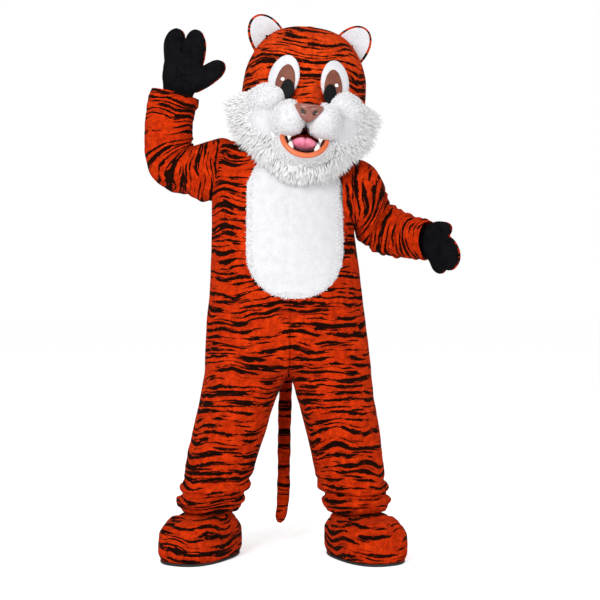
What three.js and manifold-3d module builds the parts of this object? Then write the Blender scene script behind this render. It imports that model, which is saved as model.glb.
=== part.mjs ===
// Tiger mascot costume: jumpsuit with tail, two mitt paws, two boot feet and a hollow head.
// Millimetres, +Z up. The costume faces -Y, so the wearer's left is +X.
// Heights in the tables are above the soles; the origin is on the wearer's shoulders.
import * as THREE from 'three';
import Module from 'manifold-3d';

const wasm = await Module();
wasm.setup();

// ---------------------------------------------------------------- driving sizes
const SHOULDER_HEIGHT = 1470;
const PLUSH = 3;
const FOAM_PLUSH = 9;
const PADDED_MITT = 4;
const GAP = 0.3;
const SEAM = GAP / 2 + 0.05;
const PANEL_STEPS = 5;
const SLEEVE_SIDES = 12;

const BELLY = { centre: 22, halfWidth: 172, bottom: 940, straight: 1110, top: 1480, thickness: 3.5 };
const ZIP = { bottom: 930, top: 1386, slotHalf: 4.5, tapeHalf: 16, tape: 1.2, chainHalf: 3 };
const SLIDER = { height: 1372, width: 11, length: 17, thickness: 5, lug: 1.1, lugReach: 2.4 };
const PULL = { width: 8, length: 34, thickness: 1.8 };
const HEAD = { x: 55, y: -8, height: 1690, roll: 6, yaw: 5 };
const EYE = { x: 89, z: 22, halfWidth: 52, halfHeight: 76, lean: 8, plush: 7 };
const IRIS = { x: 84, z: 12, halfWidth: 31, halfHeight: 50, thickness: 3 };
const PUPIL = { x: 80, z: 2, halfWidth: 19, halfHeight: 29, thickness: 1.5 };
const GLINT = { x: 72, z: 16, radius: 7, thickness: 1 };
const EAR = { x: 142, z: 166, tilt: 35, halfWidth: 66, height: 112, rim: 9, back: 14, lining: 5 };
const BOOT_LEFT = { x: 276, y: -57, turn: 27 };
const BOOT_RIGHT = { x: -320, y: -57, turn: -27 };
const BOOT_WALL_THICKNESS = 8;
const SOLE_THICKNESS = 9;

const degrees = Math.PI / 180;
const point = (x, y, z) => new THREE.Vector3(x, y, z);

function table(columns, rows) {
  const names = columns.split(' ');
  return rows.map((row) => Object.fromEntries(names.map((name, i) => [name, row[i]])));
}

// ---------------------------------------------------------------- section tables
// One row for each level of the jumpsuit. left and right are the outermost x of each half from the
// centre line, crotchLeft and crotchRight the innermost x (negative where both halves still form
// one trunk), front and back the depths, lift how far the shoulder rises at the side.
const SUIT = table(
  'height shift turn left crotchLeft right crotchRight front back liftLeft liftRight', [
    [164, 0, 0, 354, 136, 396, 186, 106, 114, 0, 0],
    [186, 0, 0, 366, 126, 410, 172, 120, 124, 0, 0],
    [206, 0, 0, 367, 124, 408, 166, 122, 126, 0, 0],
    [224, 0, 0, 356, 128, 394, 164, 110, 116, 0, 0],
    [242, 0, 0, 362, 116, 396, 150, 120, 124, 0, 0],
    [262, 0, 0, 354, 106, 388, 146, 118, 122, 0, 0],
    [340, 0, 0, 344, 88, 377, 122, 127, 132, 0, 0],
    [450, 0, 0, 333, 62, 354, 86, 136, 143, 0, 0],
    [580, 0, 0, 310, 28, 326, 44, 150, 158, 0, 0],
    [659, 0, 0, 301, 0, 310, 0, 160, 174, 0, 0],
    [672, 0, 0, 300, -28, 308, -28, 162, 178, 0, 0],
    [692, 0, 1, 299, -78, 307, -78, 165, 184, 0, 0],
    [722, -1, 2, 297, -148, 305, -148, 169, 190, 0, 0],
    [780, -4, 3, 294, -244, 300, -244, 174, 192, 0, 0],
    [860, -8, 4, 289, -289, 292, -289, 180, 184, 0, 0],
    [960, -11, 6, 280, -280, 280, -280, 184, 172, 0, 0],
    [1070, -15, 8, 271, -271, 271, -271, 184, 161, 0, 0],
    [1190, -19, 11, 260, -260, 265, -265, 178, 155, 0, 0],
    [1270, -20, 12, 259, -259, 264, -264, 172, 151, 0, 0],
    [1340, -20, 12, 264, -264, 264, -264, 166, 148, 4, 20],
    [1390, -18, 12, 262, -262, 258, -258, 156, 141, 10, 54],
    [1424, -12, 11, 240, -240, 238, -238, 142, 131, 12, 74],
    [1444, -6, 10, 196, -196, 202, -202, 126, 118, 12, 66],
    [1455, 0, 8, 148, -148, 152, -152, 111, 106, 6, 36],
    [1462, 4, 8, 108, -108, 110, -110, 98, 95, 0, 8],
  ]);

// Sleeve sections: where each cuts the top and the underside of the sleeve, how deep it is,
// and how far its plane is turned from facing sideways.
const SLEEVE_RIGHT = table('topX topZ underX underZ y halfDepth turn', [
  [-150, 1478, -170, 1300, 0, 96, 0],
  [-243, 1526, -246, 1286, 0, 102, 0],
  [-290, 1513, -304, 1292, -4, 101, 0],
  [-332, 1500, -366, 1310, -9, 98, 0],
  [-348, 1496, -428, 1331, -15, 96, 4],
  [-352, 1500, -478, 1357, -21, 94, 6],
  [-353, 1508, -509, 1402, -28, 93, 8],
  [-351, 1528, -522, 1476, -38, 91, 8],
  [-346, 1575, -520, 1568, -52, 87, 4],
  [-338, 1606, -515, 1626, -60, 86, 0],
  [-326, 1634, -504, 1672, -66, 85, 0],
  [-320, 1652, -496, 1696, -70, 83, 0],
]);
const SLEEVE_LEFT = table('topX topZ underX underZ y halfDepth turn', [
  [190, 1420, 196, 1216, 0, 100, 0],
  [256, 1447, 244, 1204, 6, 106, -6],
  [303, 1424, 250, 1184, 22, 101, -18],
  [334, 1376, 256, 1163, 44, 96, -20],
  [357, 1331, 272, 1142, 64, 92, -8],
  [370, 1303, 302, 1120, 76, 90, 12],
  [387, 1282, 338, 1104, 78, 88, 26],
  [410, 1267, 374, 1094, 70, 86, 33],
  [442, 1248, 428, 1087, 46, 82, 37],
  [476, 1236, 470, 1083, 14, 77, 39],
  [512, 1226, 506, 1080, -20, 73, 39],
]);

const HEAD_SHELL = table('height half front back', [
  [-208, 170, 164, 168],
  [-145, 205, 196, 202],
  [-90, 219, 208, 214],
  [-20, 226, 215, 221],
  [45, 224, 214, 220],
  [110, 208, 201, 207],
  [165, 180, 174, 180],
  [205, 141, 136, 141],
  [229, 92, 89, 92],
  [239, 42, 41, 42],
]);

const BOOT_WALL = table('height halfLength halfWidth back', [
  [9.3, 178, 111, 0], [40, 187, 120, 0], [96, 186, 119, 0], [132, 168, 102, 0],
]);
const BOOT_UPPER = table('height halfLength halfWidth back', [
  [132.3, 168, 102, 0], [149, 142, 90, 10], [158, 90, 76, 60], [196, 78, 69, 64],
]);

// Mitt fingers: each is a row of rounds along its bone, in the plane of the palm.
const MITT_RIGHT = {
  turn: -20, y: -72,
  rods: [
    { flat: 0.46, rounds: table('x z radius', [
      [-402, 1650, 58], [-398, 1684, 62], [-388, 1722, 76], [-381, 1764, 77], [-376, 1800, 74],
      [-374, 1816, 62]]) },
    { flat: 0.86, rounds: table('x z radius', [
      [-404, 1770, 36], [-411, 1812, 40], [-412, 1850, 40], [-405, 1882, 35], [-400, 1902, 24],
      [-398, 1911, 9]]) },
    { flat: 0.86, rounds: table('x z radius', [
      [-346, 1770, 36], [-337, 1812, 40], [-334, 1848, 40], [-336, 1876, 34], [-339, 1894, 23],
      [-341, 1902, 9]]) },
    { flat: 0.9, rounds: table('x z radius', [
      [-345, 1712, 40], [-306, 1728, 38], [-274, 1746, 36], [-250, 1762, 31], [-234, 1772, 20],
      [-228, 1776, 8]]) },
  ],
};
const MITT_LEFT = {
  turn: -41, y: 17,
  rods: [
    { flat: 0.5, rounds: table('x z radius', [
      [470, 1154, 50], [492, 1152, 56], [516, 1148, 66], [540, 1141, 66], [556, 1134, 56],
      [562, 1130, 40]]) },
    { flat: 0.92, rounds: table('x z radius', [
      [512, 1176, 30], [538, 1188, 31], [560, 1190, 29], [576, 1184, 22], [582, 1181, 9]]) },
    { flat: 0.92, rounds: table('x z radius', [
      [552, 1142, 35], [575, 1118, 37], [583, 1092, 36], [578, 1066, 31], [572, 1050, 20],
      [569, 1044, 8]]) },
    { flat: 0.92, rounds: table('x z radius', [
      [520, 1118, 33], [536, 1092, 34], [545, 1066, 33], [549, 1046, 27], [551, 1034, 17],
      [552, 1028, 7]]) },
  ],
};

const TAIL_PATH = table('x y height radius', [
  [-4, 172, 806, 22], [-5, 208, 790, 25], [-7, 224, 752, 26], [-10, 226, 690, 26],
  [-15, 221, 590, 25], [-19, 213, 470, 25], [-21, 207, 340, 24], [-23, 204, 210, 24],
  [-28, 199, 138, 23], [-36, 192, 98, 17], [-40, 189, 84, 7],
]);

// ---------------------------------------------------------------- solids
function solid(points, triangles) {
  const keys = new Map();
  const vertices = [];
  const remap = points.map((p) => {
    const key = [p.x, p.y, p.z].map((c) => Math.round(c * 2000)).join();
    if (!keys.has(key)) {
      keys.set(key, vertices.length / 3);
      vertices.push(p.x, p.y, p.z);
    }
    return keys.get(key);
  });
  let kept = triangles.map((t) => t.map((i) => remap[i]))
    .filter(([a, b, c]) => a !== b && b !== c && c !== a);
  if (signedVolume(vertices, kept) < 0) kept = kept.map(([a, b, c]) => [a, c, b]);
  const mesh = new wasm.Mesh({
    numProp: 3,
    vertProperties: new Float32Array(vertices),
    triVerts: new Uint32Array(kept.flat()),
  });
  return new wasm.Manifold(mesh);
}

function signedVolume(vertices, triangles) {
  const at = (i) => point(vertices[3 * i], vertices[3 * i + 1], vertices[3 * i + 2]);
  return triangles.reduce((sum, [a, b, c]) => sum + at(a).dot(at(b).cross(at(c))) / 6, 0);
}

// Two triangles across a quad, split along its shorter diagonal when the points are given.
function quad(a, b, c, d, points) {
  const short = !points
    || points[a].distanceToSquared(points[c]) <= points[b].distanceToSquared(points[d]);
  return short ? [[a, b, c], [a, c, d]] : [[a, b, d], [b, c, d]];
}

// A solid through rings of points, closed at both ends.
function loft(rings) {
  const sides = rings[0].length;
  const points = rings.flat();
  const triangles = [];
  for (let row = 0; row + 1 < rings.length; row += 1) {
    for (let i = 0; i < sides; i += 1) {
      const next = (i + 1) % sides;
      const [low, high] = [row * sides, (row + 1) * sides];
      triangles.push(...quad(low + i, low + next, high + next, high + i, points));
    }
  }
  for (const [ring, flip] of [[0, true], [rings.length - 1, false]]) {
    const middle = points.length;
    const centre = rings[ring].reduce((sum, p) => sum.add(p), point(0, 0, 0));
    points.push(centre.divideScalar(sides));
    for (let i = 0; i < sides; i += 1) {
      const edge = [ring * sides + i, ring * sides + ((i + 1) % sides)];
      triangles.push(flip ? [middle, edge[1], edge[0]] : [middle, ...edge]);
    }
  }
  return solid(points, triangles);
}

// A wall between two sheets of points, sheet[row][column], each closed round on itself or not.
function wall(outer, inner, round) {
  const rows = outer.length;
  const columns = outer[0].length;
  const points = [...outer.flat(), ...inner.flat()];
  const index = (layer, row, column) => layer * rows * columns + row * columns + (column % columns);
  const triangles = [];
  const steps = round ? columns : columns - 1;
  for (let i = 0; i < steps; i += 1) {
    for (let row = 0; row + 1 < rows; row += 1) {
      triangles.push(...quad(
        index(0, row, i), index(0, row, i + 1), index(0, row + 1, i + 1), index(0, row + 1, i), points));
      triangles.push(...quad(
        index(1, row, i), index(1, row + 1, i), index(1, row + 1, i + 1), index(1, row, i + 1), points));
    }
    triangles.push(...quad(index(0, 0, i), index(1, 0, i), index(1, 0, i + 1), index(0, 0, i + 1)));
    const top = rows - 1;
    triangles.push(...quad(
      index(0, top, i), index(0, top, i + 1), index(1, top, i + 1), index(1, top, i)));
  }
  if (!round) {
    const last = columns - 1;
    for (let row = 0; row + 1 < rows; row += 1) {
      triangles.push(...quad(
        index(0, row, 0), index(0, row + 1, 0), index(1, row + 1, 0), index(1, row, 0)));
      triangles.push(...quad(
        index(0, row, last), index(1, row, last), index(1, row + 1, last), index(0, row + 1, last)));
    }
  }
  return solid(points, triangles);
}

// Moves every point of a sheet along the sheet's own outward normal.
function moved(sheet, distance, round) {
  const columns = sheet[0].length;
  return sheet.map((line, row) => line.map((p, i) => {
    const below = sheet[Math.max(row - 1, 0)][i];
    const above = sheet[Math.min(row + 1, sheet.length - 1)][i];
    const before = line[round ? (i + columns - 1) % columns : Math.max(i - 1, 0)];
    const after = line[round ? (i + 1) % columns : Math.min(i + 1, columns - 1)];
    const normal = after.clone().sub(before).cross(above.clone().sub(below)).normalize();
    return p.clone().addScaledVector(normal, distance);
  }));
}

function placed(sheet, matrix) {
  return matrix ? sheet.map((line) => line.map((p) => p.applyMatrix4(matrix))) : sheet;
}

function ellipsoid(centre, radii, grow = 0, turn = [0, 0, 0], detail = [12, 7]) {
  const geometry = new THREE.SphereGeometry(1, ...detail);
  geometry.rotateX(Math.PI / 2);
  geometry.scale(radii[0] + grow, radii[1] + grow, radii[2] + grow);
  geometry.rotateX(turn[0] * degrees);
  geometry.rotateY(turn[1] * degrees);
  geometry.rotateZ(turn[2] * degrees);
  geometry.translate(...centre);
  return fromGeometry(geometry);
}

function box(low, high) {
  const size = high.map((v, i) => v - low[i]);
  const geometry = new THREE.BoxGeometry(...size);
  geometry.translate(...low.map((v, i) => v + size[i] / 2));
  return fromGeometry(geometry);
}

function fromGeometry(geometry, matrix) {
  if (matrix) geometry.applyMatrix4(matrix);
  const position = geometry.attributes.position;
  const points = [];
  for (let i = 0; i < position.count; i += 1) points.push(point().fromBufferAttribute(position, i));
  const order = geometry.index ? [...geometry.index.array] : points.map((_, i) => i);
  const triangles = [];
  for (let i = 0; i < order.length; i += 3) triangles.push(order.slice(i, i + 3));
  return solid(points, triangles);
}

const without = (first, ...others) => others.reduce((rest, other) => rest.subtract(other), first);

const costume = new THREE.Group();
const standing = new THREE.Group();
standing.position.z = -SHOULDER_HEIGHT;
costume.add(standing);
const headGroup = new THREE.Group();
headGroup.position.set(HEAD.x, HEAD.y, HEAD.height);
headGroup.rotation.order = 'YZX';
headGroup.rotation.y = HEAD.roll * degrees;
headGroup.rotation.z = HEAD.yaw * degrees;
standing.add(headGroup);

const MATERIALS = {
  print: { color: 0xc4400f, roughness: 0.95, metalness: 0 },
  white: { color: 0xf0f0f2, roughness: 0.95, metalness: 0 },
  ruff: { color: 0xdedee2, roughness: 0.95, metalness: 0 },
  black: { color: 0x0c0c0e, roughness: 0.9, metalness: 0 },
  iris: { color: 0x7a4b38, roughness: 0.3, metalness: 0 },
  pupil: { color: 0x0a0a0a, roughness: 0.15, metalness: 0 },
  glint: { color: 0xffffff, roughness: 0.3, metalness: 0 },
  nose: { color: 0x8c5040, roughness: 0.3, metalness: 0 },
  lip: { color: 0xd86c38, roughness: 0.45, metalness: 0 },
  lining: { color: 0x2a0a0c, roughness: 0.8, metalness: 0 },
  tongue: { color: 0xe886a4, roughness: 0.5, metalness: 0 },
  tooth: { color: 0xf6f4ee, roughness: 0.3, metalness: 0 },
  rubber: { color: 0x141414, roughness: 0.8, metalness: 0 },
  zip: { color: 0x3a160a, roughness: 0.8, metalness: 0 },
  metal: { color: 0xb08a4a, roughness: 0.35, metalness: 1 },
};

function add(name, piece, material, parent = standing) {
  const { vertProperties, triVerts } = piece.getMesh();
  const geometry = new THREE.BufferGeometry();
  geometry.setAttribute('position', new THREE.BufferAttribute(vertProperties, 3));
  geometry.setIndex(new THREE.BufferAttribute(triVerts, 1));
  geometry.computeVertexNormals();
  const mesh = new THREE.Mesh(geometry, new THREE.MeshStandardMaterial(MATERIALS[material]));
  mesh.name = name;
  parent.add(mesh);
}

// ---------------------------------------------------------------- jumpsuit trunk and legs
// A point of one level, before it is turned: angle 0 is the side seam, positive to the front.
function levelPoint(row, side, angle, grow) {
  const outer = side > 0 ? row.left : row.right;
  const crotch = side > 0 ? row.crotchLeft : row.crotchRight;
  const lift = side > 0 ? row.liftLeft : row.liftRight;
  const centre = (outer + crotch) / 2;
  const half = (outer - crotch) / 2 + grow;
  const depth = (angle > 0 ? row.front : row.back) + grow;
  const x = centre + half * Math.cos(angle);
  const y = -depth * Math.sin(angle);
  return point(side * x, y, row.height + lift * Math.cos(angle) ** 2);
}

// The angle at which a level meets the centre seam, or the inside leg seam below the crotch.
function seamAngle(row, side) {
  const outer = side > 0 ? row.left : row.right;
  const crotch = side > 0 ? row.crotchLeft : row.crotchRight;
  return Math.acos(Math.max(-1, -(outer + crotch) / (outer - crotch)));
}

function turned(p, row) {
  return p.applyAxisAngle(point(0, 0, 1), row.turn * degrees).add(point(row.shift, 0, 0));
}

// One front or back panel as a sheet, from its side seam to the centre and inside leg seams.
function panelSheet(side, face, steps = PANEL_STEPS) {
  return SUIT.map((row) => {
    const reach = seamAngle(row, side);
    const line = [];
    for (let i = 0; i <= steps; i += 1) line.push(levelPoint(row, side, face * reach * (i / steps), 0));
    return side * face > 0 ? line.reverse() : line;
  });
}

// Keeps a sheet on its own side of the centre plane and of the side and inside leg seams.
function kept(sheet, side, face, centre = SEAM) {
  return sheet.map((line, j) => line.map((p) => {
    const held = p.clone();
    held.x = side * Math.max(side * p.x, centre);
    held.y = -face * Math.max(-face * p.y, SEAM);
    return turned(held, SUIT[j]);
  }));
}

function panel(side, face) {
  const sheet = panelSheet(side, face);
  return wall(kept(sheet, side, face), kept(moved(sheet, -PLUSH, false), side, face), false);
}

// The whole trunk above the crotch as one closed body, moved out by a distance.
function trunkPlug(grow, matrix) {
  const rings = SUIT.filter((row) => row.height >= 692).map((row) => {
    const ring = [];
    for (const [side, face] of [[1, 1], [1, -1], [-1, -1], [-1, 1]]) {
      const reach = seamAngle(row, side);
      for (let i = 0; i < PANEL_STEPS; i += 1) {
        const part = side * face > 0 ? 1 - i / PANEL_STEPS : i / PANEL_STEPS;
        ring.push(levelPoint(row, side, face * reach * part, 0));
      }
    }
    return ring.map((p) => turned(p, row));
  });
  return loft(placed(moved(rings, grow, true), matrix));
}

// ---------------------------------------------------------------- sleeves
function sleeveSheet(rows) {
  return rows.map((row) => {
    const middle = point((row.topX + row.underX) / 2, row.y, (row.topZ + row.underZ) / 2);
    const up = point((row.topX - row.underX) / 2, 0, (row.topZ - row.underZ) / 2);
    const turn = row.turn * degrees;
    const across = point(Math.sin(turn), Math.cos(turn), 0).multiplyScalar(row.halfDepth);
    const ring = [];
    for (let i = 0; i < SLEEVE_SIDES; i += 1) {
      const angle = (2 * Math.PI * i) / SLEEVE_SIDES;
      ring.push(middle.clone().addScaledVector(up, Math.cos(angle))
        .addScaledVector(across, Math.sin(angle)));
    }
    return ring;
  });
}

function outwards(sheet) {
  const centre = (line) => line.reduce((sum, p) => sum.add(p), point(0, 0, 0)).divideScalar(line.length);
  const test = moved(sheet, 1, true)[0][0];
  const from = centre(sheet[0]);
  return test.distanceTo(from) > sheet[0][0].distanceTo(from) ? sheet : sheet.map((l) => [...l].reverse());
}

function addSleeve(name, rows) {
  const sheet = outwards(sleeveSheet(rows));
  const inner = moved(sheet, -PLUSH, true);
  add(name, without(wall(sheet, inner, true), trunkPlug(GAP)), 'print');
  return { room: loft(moved(sheet, -PLUSH - GAP, true)), sheet };
}


// ---------------------------------------------------------------- belly and zip
// A closed outline in x and height, pushed from the front to the back of the costume.
function prism(outline, nearY, farY, matrix) {
  const shape = new THREE.Shape(outline.map(([x, z]) => new THREE.Vector2(x, z)));
  const geometry = new THREE.ExtrudeGeometry(shape, { depth: farY - nearY, bevelEnabled: false, steps: 1 });
  geometry.rotateX(Math.PI / 2);
  geometry.translate(0, farY, 0);
  return fromGeometry(geometry, matrix);
}

function ovalOutline(x, z, halfWidth, halfHeight, lean = 0, steps = 20) {
  const outline = [];
  for (let i = 0; i < steps; i += 1) {
    const angle = (2 * Math.PI * i) / steps;
    const [across, up] = [halfWidth * Math.cos(angle), halfHeight * Math.sin(angle)];
    const tilt = lean * degrees;
    outline.push([x + across * Math.cos(tilt) - up * Math.sin(tilt),
      z + across * Math.sin(tilt) + up * Math.cos(tilt)]);
  }
  return outline;
}

function addBelly() {
  const steps = 14;
  const outline = [];
  for (let i = 0; i <= steps; i += 1) {
    const angle = Math.PI + (Math.PI * i) / steps;
    const across = Math.sign(Math.cos(angle)) * Math.abs(Math.cos(angle)) ** 0.75;
    outline.push([BELLY.centre + BELLY.halfWidth * across,
      BELLY.straight + (BELLY.straight - BELLY.bottom) * Math.sin(angle)]);
  }
  outline.push([BELLY.centre + BELLY.halfWidth - 4, BELLY.top - 110]);
  outline.push([BELLY.centre + BELLY.halfWidth - 60, BELLY.top]);
  outline.push([BELLY.centre - BELLY.halfWidth + 60, BELLY.top]);
  outline.push([BELLY.centre - BELLY.halfWidth + 4, BELLY.top - 110]);
  const skin = without(trunkPlug(BELLY.thickness), trunkPlug(GAP));
  add('belly', skin.intersect(prism(outline, -400, -20)), 'white');
}

// A strip down the centre back between two heights, from near to far of the outer cloth face.
function backStrip(bottom, top, half, near, far) {
  const sheet = (offset) => SUIT.filter((row) => row.height > 700).map((row) => (
    [half, -half].map((x) => turned(point(x, row.back + offset, row.height), row))));
  return wall(sheet(far), sheet(near), false).intersect(box([-600, 0, bottom], [600, 600, top]));
}

// The zip closes the centre back: tape inside the cloth, chain in the slot, slider at the top.
function addZip() {
  const tapeFace = -PLUSH - 2.6;
  add('zip_tape', backStrip(ZIP.bottom - 12, ZIP.top + 8, ZIP.tapeHalf, tapeFace - ZIP.tape, tapeFace), 'zip');
  add('zip_chain', backStrip(ZIP.bottom, ZIP.top, ZIP.chainHalf, tapeFace + 2 * GAP, 0), 'metal');
  const above = SUIT.find((row) => row.height >= SLIDER.height);
  const below = SUIT[SUIT.indexOf(above) - 1];
  const part = (SLIDER.height - below.height) / (above.height - below.height);
  const level = (name) => below[name] + (above[name] - below[name]) * part;
  const group = new THREE.Group();
  const seat = turned(point(0, level('back'), 0), { turn: level('turn'), shift: level('shift') });
  group.position.set(seat.x, seat.y, SLIDER.height);
  group.rotation.order = 'ZXY';
  group.rotation.z = level('turn') * degrees;
  group.rotation.x = Math.atan2(below.back - above.back, above.height - below.height);
  standing.add(group);
  const [half, face] = [SLIDER.width / 2, 0.4 + SLIDER.thickness];
  const body = box([-half, 0.4, -SLIDER.length / 2], [half, face, SLIDER.length / 2]);
  const lugs = [-half, half - SLIDER.lug].map((x) => (
    box([x, face - 0.5, 1.5], [x + SLIDER.lug, face + SLIDER.lugReach, 5.5])));
  add('zip_slider', body.add(lugs[0]).add(lugs[1]), 'metal', group);
  const pivot = new THREE.Group();
  pivot.position.set(0, face + GAP + PULL.thickness / 2 + 0.05, 3.5);
  group.add(pivot);
  const [across, thick] = [PULL.width / 2, PULL.thickness / 2];
  const profile = [[-thick, -PULL.length], [thick, -PULL.length]];
  for (let i = 0; i <= 4; i += 1) {
    profile.push([thick * Math.cos((Math.PI * i) / 4), thick * Math.sin((Math.PI * i) / 4)]);
  }
  const shape = new THREE.Shape(profile.map(([y, z]) => new THREE.Vector2(y, z)));
  const geometry = new THREE.ExtrudeGeometry(shape, { depth: 2 * across, bevelEnabled: false, steps: 1 });
  geometry.rotateX(Math.PI / 2);
  geometry.rotateZ(Math.PI / 2);
  geometry.translate(-across, 0, 0);
  add('zip_pull', fromGeometry(geometry), 'metal', pivot);
}

// ---------------------------------------------------------------- head
function shellSheet(side, steps) {
  return HEAD_SHELL.map((row) => {
    const line = [];
    for (let i = 0; i <= steps; i += 1) {
      const angle = -Math.PI / 2 + (Math.PI * i) / steps;
      const depth = angle < 0 ? row.front : row.back;
      line.push(point(side * row.half * Math.cos(angle), depth * Math.sin(angle), row.height));
    }
    return side > 0 ? line : line.reverse();
  });
}

const SHELL_STEPS = 10;

function headPlug(grow) {
  const rings = shellSheet(1, SHELL_STEPS).map((line, row) => (
    [...line.slice(0, -1), ...shellSheet(-1, SHELL_STEPS)[row].slice(0, -1)]));
  return loft(moved(rings, grow, true));
}

function shellHalf(side) {
  const outer = headPlug(0);
  const inner = headPlug(-FOAM_PLUSH);
  const lower = inner.add(box([-110, -110, -400], [110, 110, HEAD_SHELL[0].height + 40]));
  const half = side > 0 ? box([SEAM, -400, -400], [400, 400, 400]) : box([-400, -400, -400], [-SEAM, 400, 400]);
  const open = without(outer, lower).intersect(half);
  return without(open, box([-400, -400, -400], [400, 400, HEAD_SHELL[0].height + 1]));
}

// Everything on the face is a shape that can be grown, so that its neighbours clear it.
function horizontalLoft(rows, grow) {
  return loft(rows.map((row, i) => {
    const ring = [];
    const end = i === 0 ? -grow : i === rows.length - 1 ? grow : 0;
    for (let k = 0; k < 16; k += 1) {
      const angle = (2 * Math.PI * k) / 16;
      ring.push(point((row.half + grow) * Math.cos(angle), row.y + (row.depth + grow) * Math.sin(angle),
        row.z + end));
    }
    return ring;
  }));
}

const NOSE = table('z y half depth', [
  [-142, -296, 8, 12], [-128, -296, 26, 24], [-108, -296, 44, 34], [-92, -294, 52, 38],
  [-82, -290, 50, 34], [-77, -284, 40, 22],
]);
const BRIDGE = table('z y half depth', [
  [-90, -190, 60, 118], [-74, -190, 58, 114], [-50, -185, 50, 104], [-20, -180, 42, 82],
  [15, -175, 38, 58], [50, -170, 34, 42], [76, -165, 26, 34],
]);
const nose = (grow) => horizontalLoft(NOSE, grow);
const bridge = (grow) => horizontalLoft(BRIDGE, grow);
const puff = (side, grow) => ellipsoid([side * 59, -238, -128], [59, 78, 63], grow, [0, side * -8, 0]);
const cheek = (side, grow) => (
  ellipsoid([side * 142, -150, -62], [70, 62, 58], grow, [0, side * 14, side * 30]));
const cavity = (grow) => ellipsoid([0, -206, -204], [80, 82, 52], grow, [-8, 0, 0], [10, 7]);
const jaw = (grow) => ellipsoid([0, -196, -216], [104, 86, 58], grow, [-8, 0, 0]);

const TONGUE = [[0, -224, -222], [38, 50, 16]];

// The lip runs from one corner of the mouth round the front of the jaw to the other.
function lip(grow) {
  const rings = [];
  const steps = 14;
  for (let i = 0; i <= steps; i += 1) {
    const angle = Math.PI + (Math.PI * i) / steps;
    const centre = point(80 * Math.cos(angle), -232 - 50 * Math.abs(Math.sin(angle)) ** 0.8,
      -182 + 72 * Math.sin(angle));
    const outward = point(Math.cos(angle), 0, Math.sin(angle));
    const forward = point(0, 1, 0);
    const ring = [];
    for (let k = 0; k < 8; k += 1) {
      const turn = (2 * Math.PI * k) / 8;
      ring.push(centre.clone().addScaledVector(outward, (9 + grow) * Math.cos(turn))
        .addScaledVector(forward, (11 + grow) * Math.sin(turn)));
    }
    rings.push(ring);
  }
  return loft(rings);
}

// Long fur stands out round the lower half of the head: root on the shell, thin at its tips.
const FUR = table('angle root reach tipY rootFront rootBack', [
  [28, 196, 240, -70, -95, 0], [14, 190, 262, -78, -120, 10], [0, 182, 272, -84, -140, 12],
  [-15, 176, 272, -90, -160, 12], [-30, 168, 262, -100, -180, 6], [-45, 158, 256, -122, -200, -8],
  [-60, 146, 258, -150, -214, -40], [-75, 138, 268, -172, -220, -90], [-90, 134, 272, -182, -222, -110],
]);
const FUR_CENTRE_Z = -68;

function furRing(side, from, to, grow) {
  const rows = FUR.filter((row) => row.angle <= from && row.angle >= to);
  return loft(rows.map((row) => {
    const angle = row.angle * degrees;
    const at = (radius, y) => point(side * radius * Math.cos(angle), y, FUR_CENTRE_Z + radius * Math.sin(angle));
    const middle = (row.root + row.reach) / 2;
    return [
      at(row.root - grow, row.rootFront - grow), at(middle, (row.rootFront + row.tipY) / 2 - 16 - grow),
      at(row.reach + grow, row.tipY - 7 - grow), at(row.reach + grow, row.tipY + 7 + grow),
      at(middle, (row.rootBack + row.tipY) / 2 + 14 + grow), at(row.root - grow, row.rootBack + grow),
    ];
  }));
}

// The fur under the chin goes on round from one side to the other.
function chinFur(grow) {
  const rows = FUR.filter((row) => row.angle <= -60);
  const both = [...rows.map((row) => [1, row]), ...rows.slice(0, -1).reverse().map((row) => [-1, row])];
  return loft(both.map(([side, row]) => {
    const angle = row.angle * degrees;
    const at = (radius, y) => point(side * radius * Math.cos(angle), y, FUR_CENTRE_Z + radius * Math.sin(angle));
    const middle = (row.root + row.reach) / 2;
    return [
      at(row.root - grow, row.rootFront - grow), at(middle, (row.rootFront + row.tipY) / 2 - 16 - grow),
      at(row.reach + grow, row.tipY - 7 - grow), at(row.reach + grow, row.tipY + 7 + grow),
      at(middle, (row.rootBack + row.tipY) / 2 + 14 + grow), at(row.root - grow, row.rootBack + grow),
    ];
  }));
}

function addOnShell(name, outline, near, far, material) {
  const patch = without(headPlug(far), headPlug(near)).intersect(prism(outline, -400, -60));
  return [name, patch, material];
}

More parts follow.
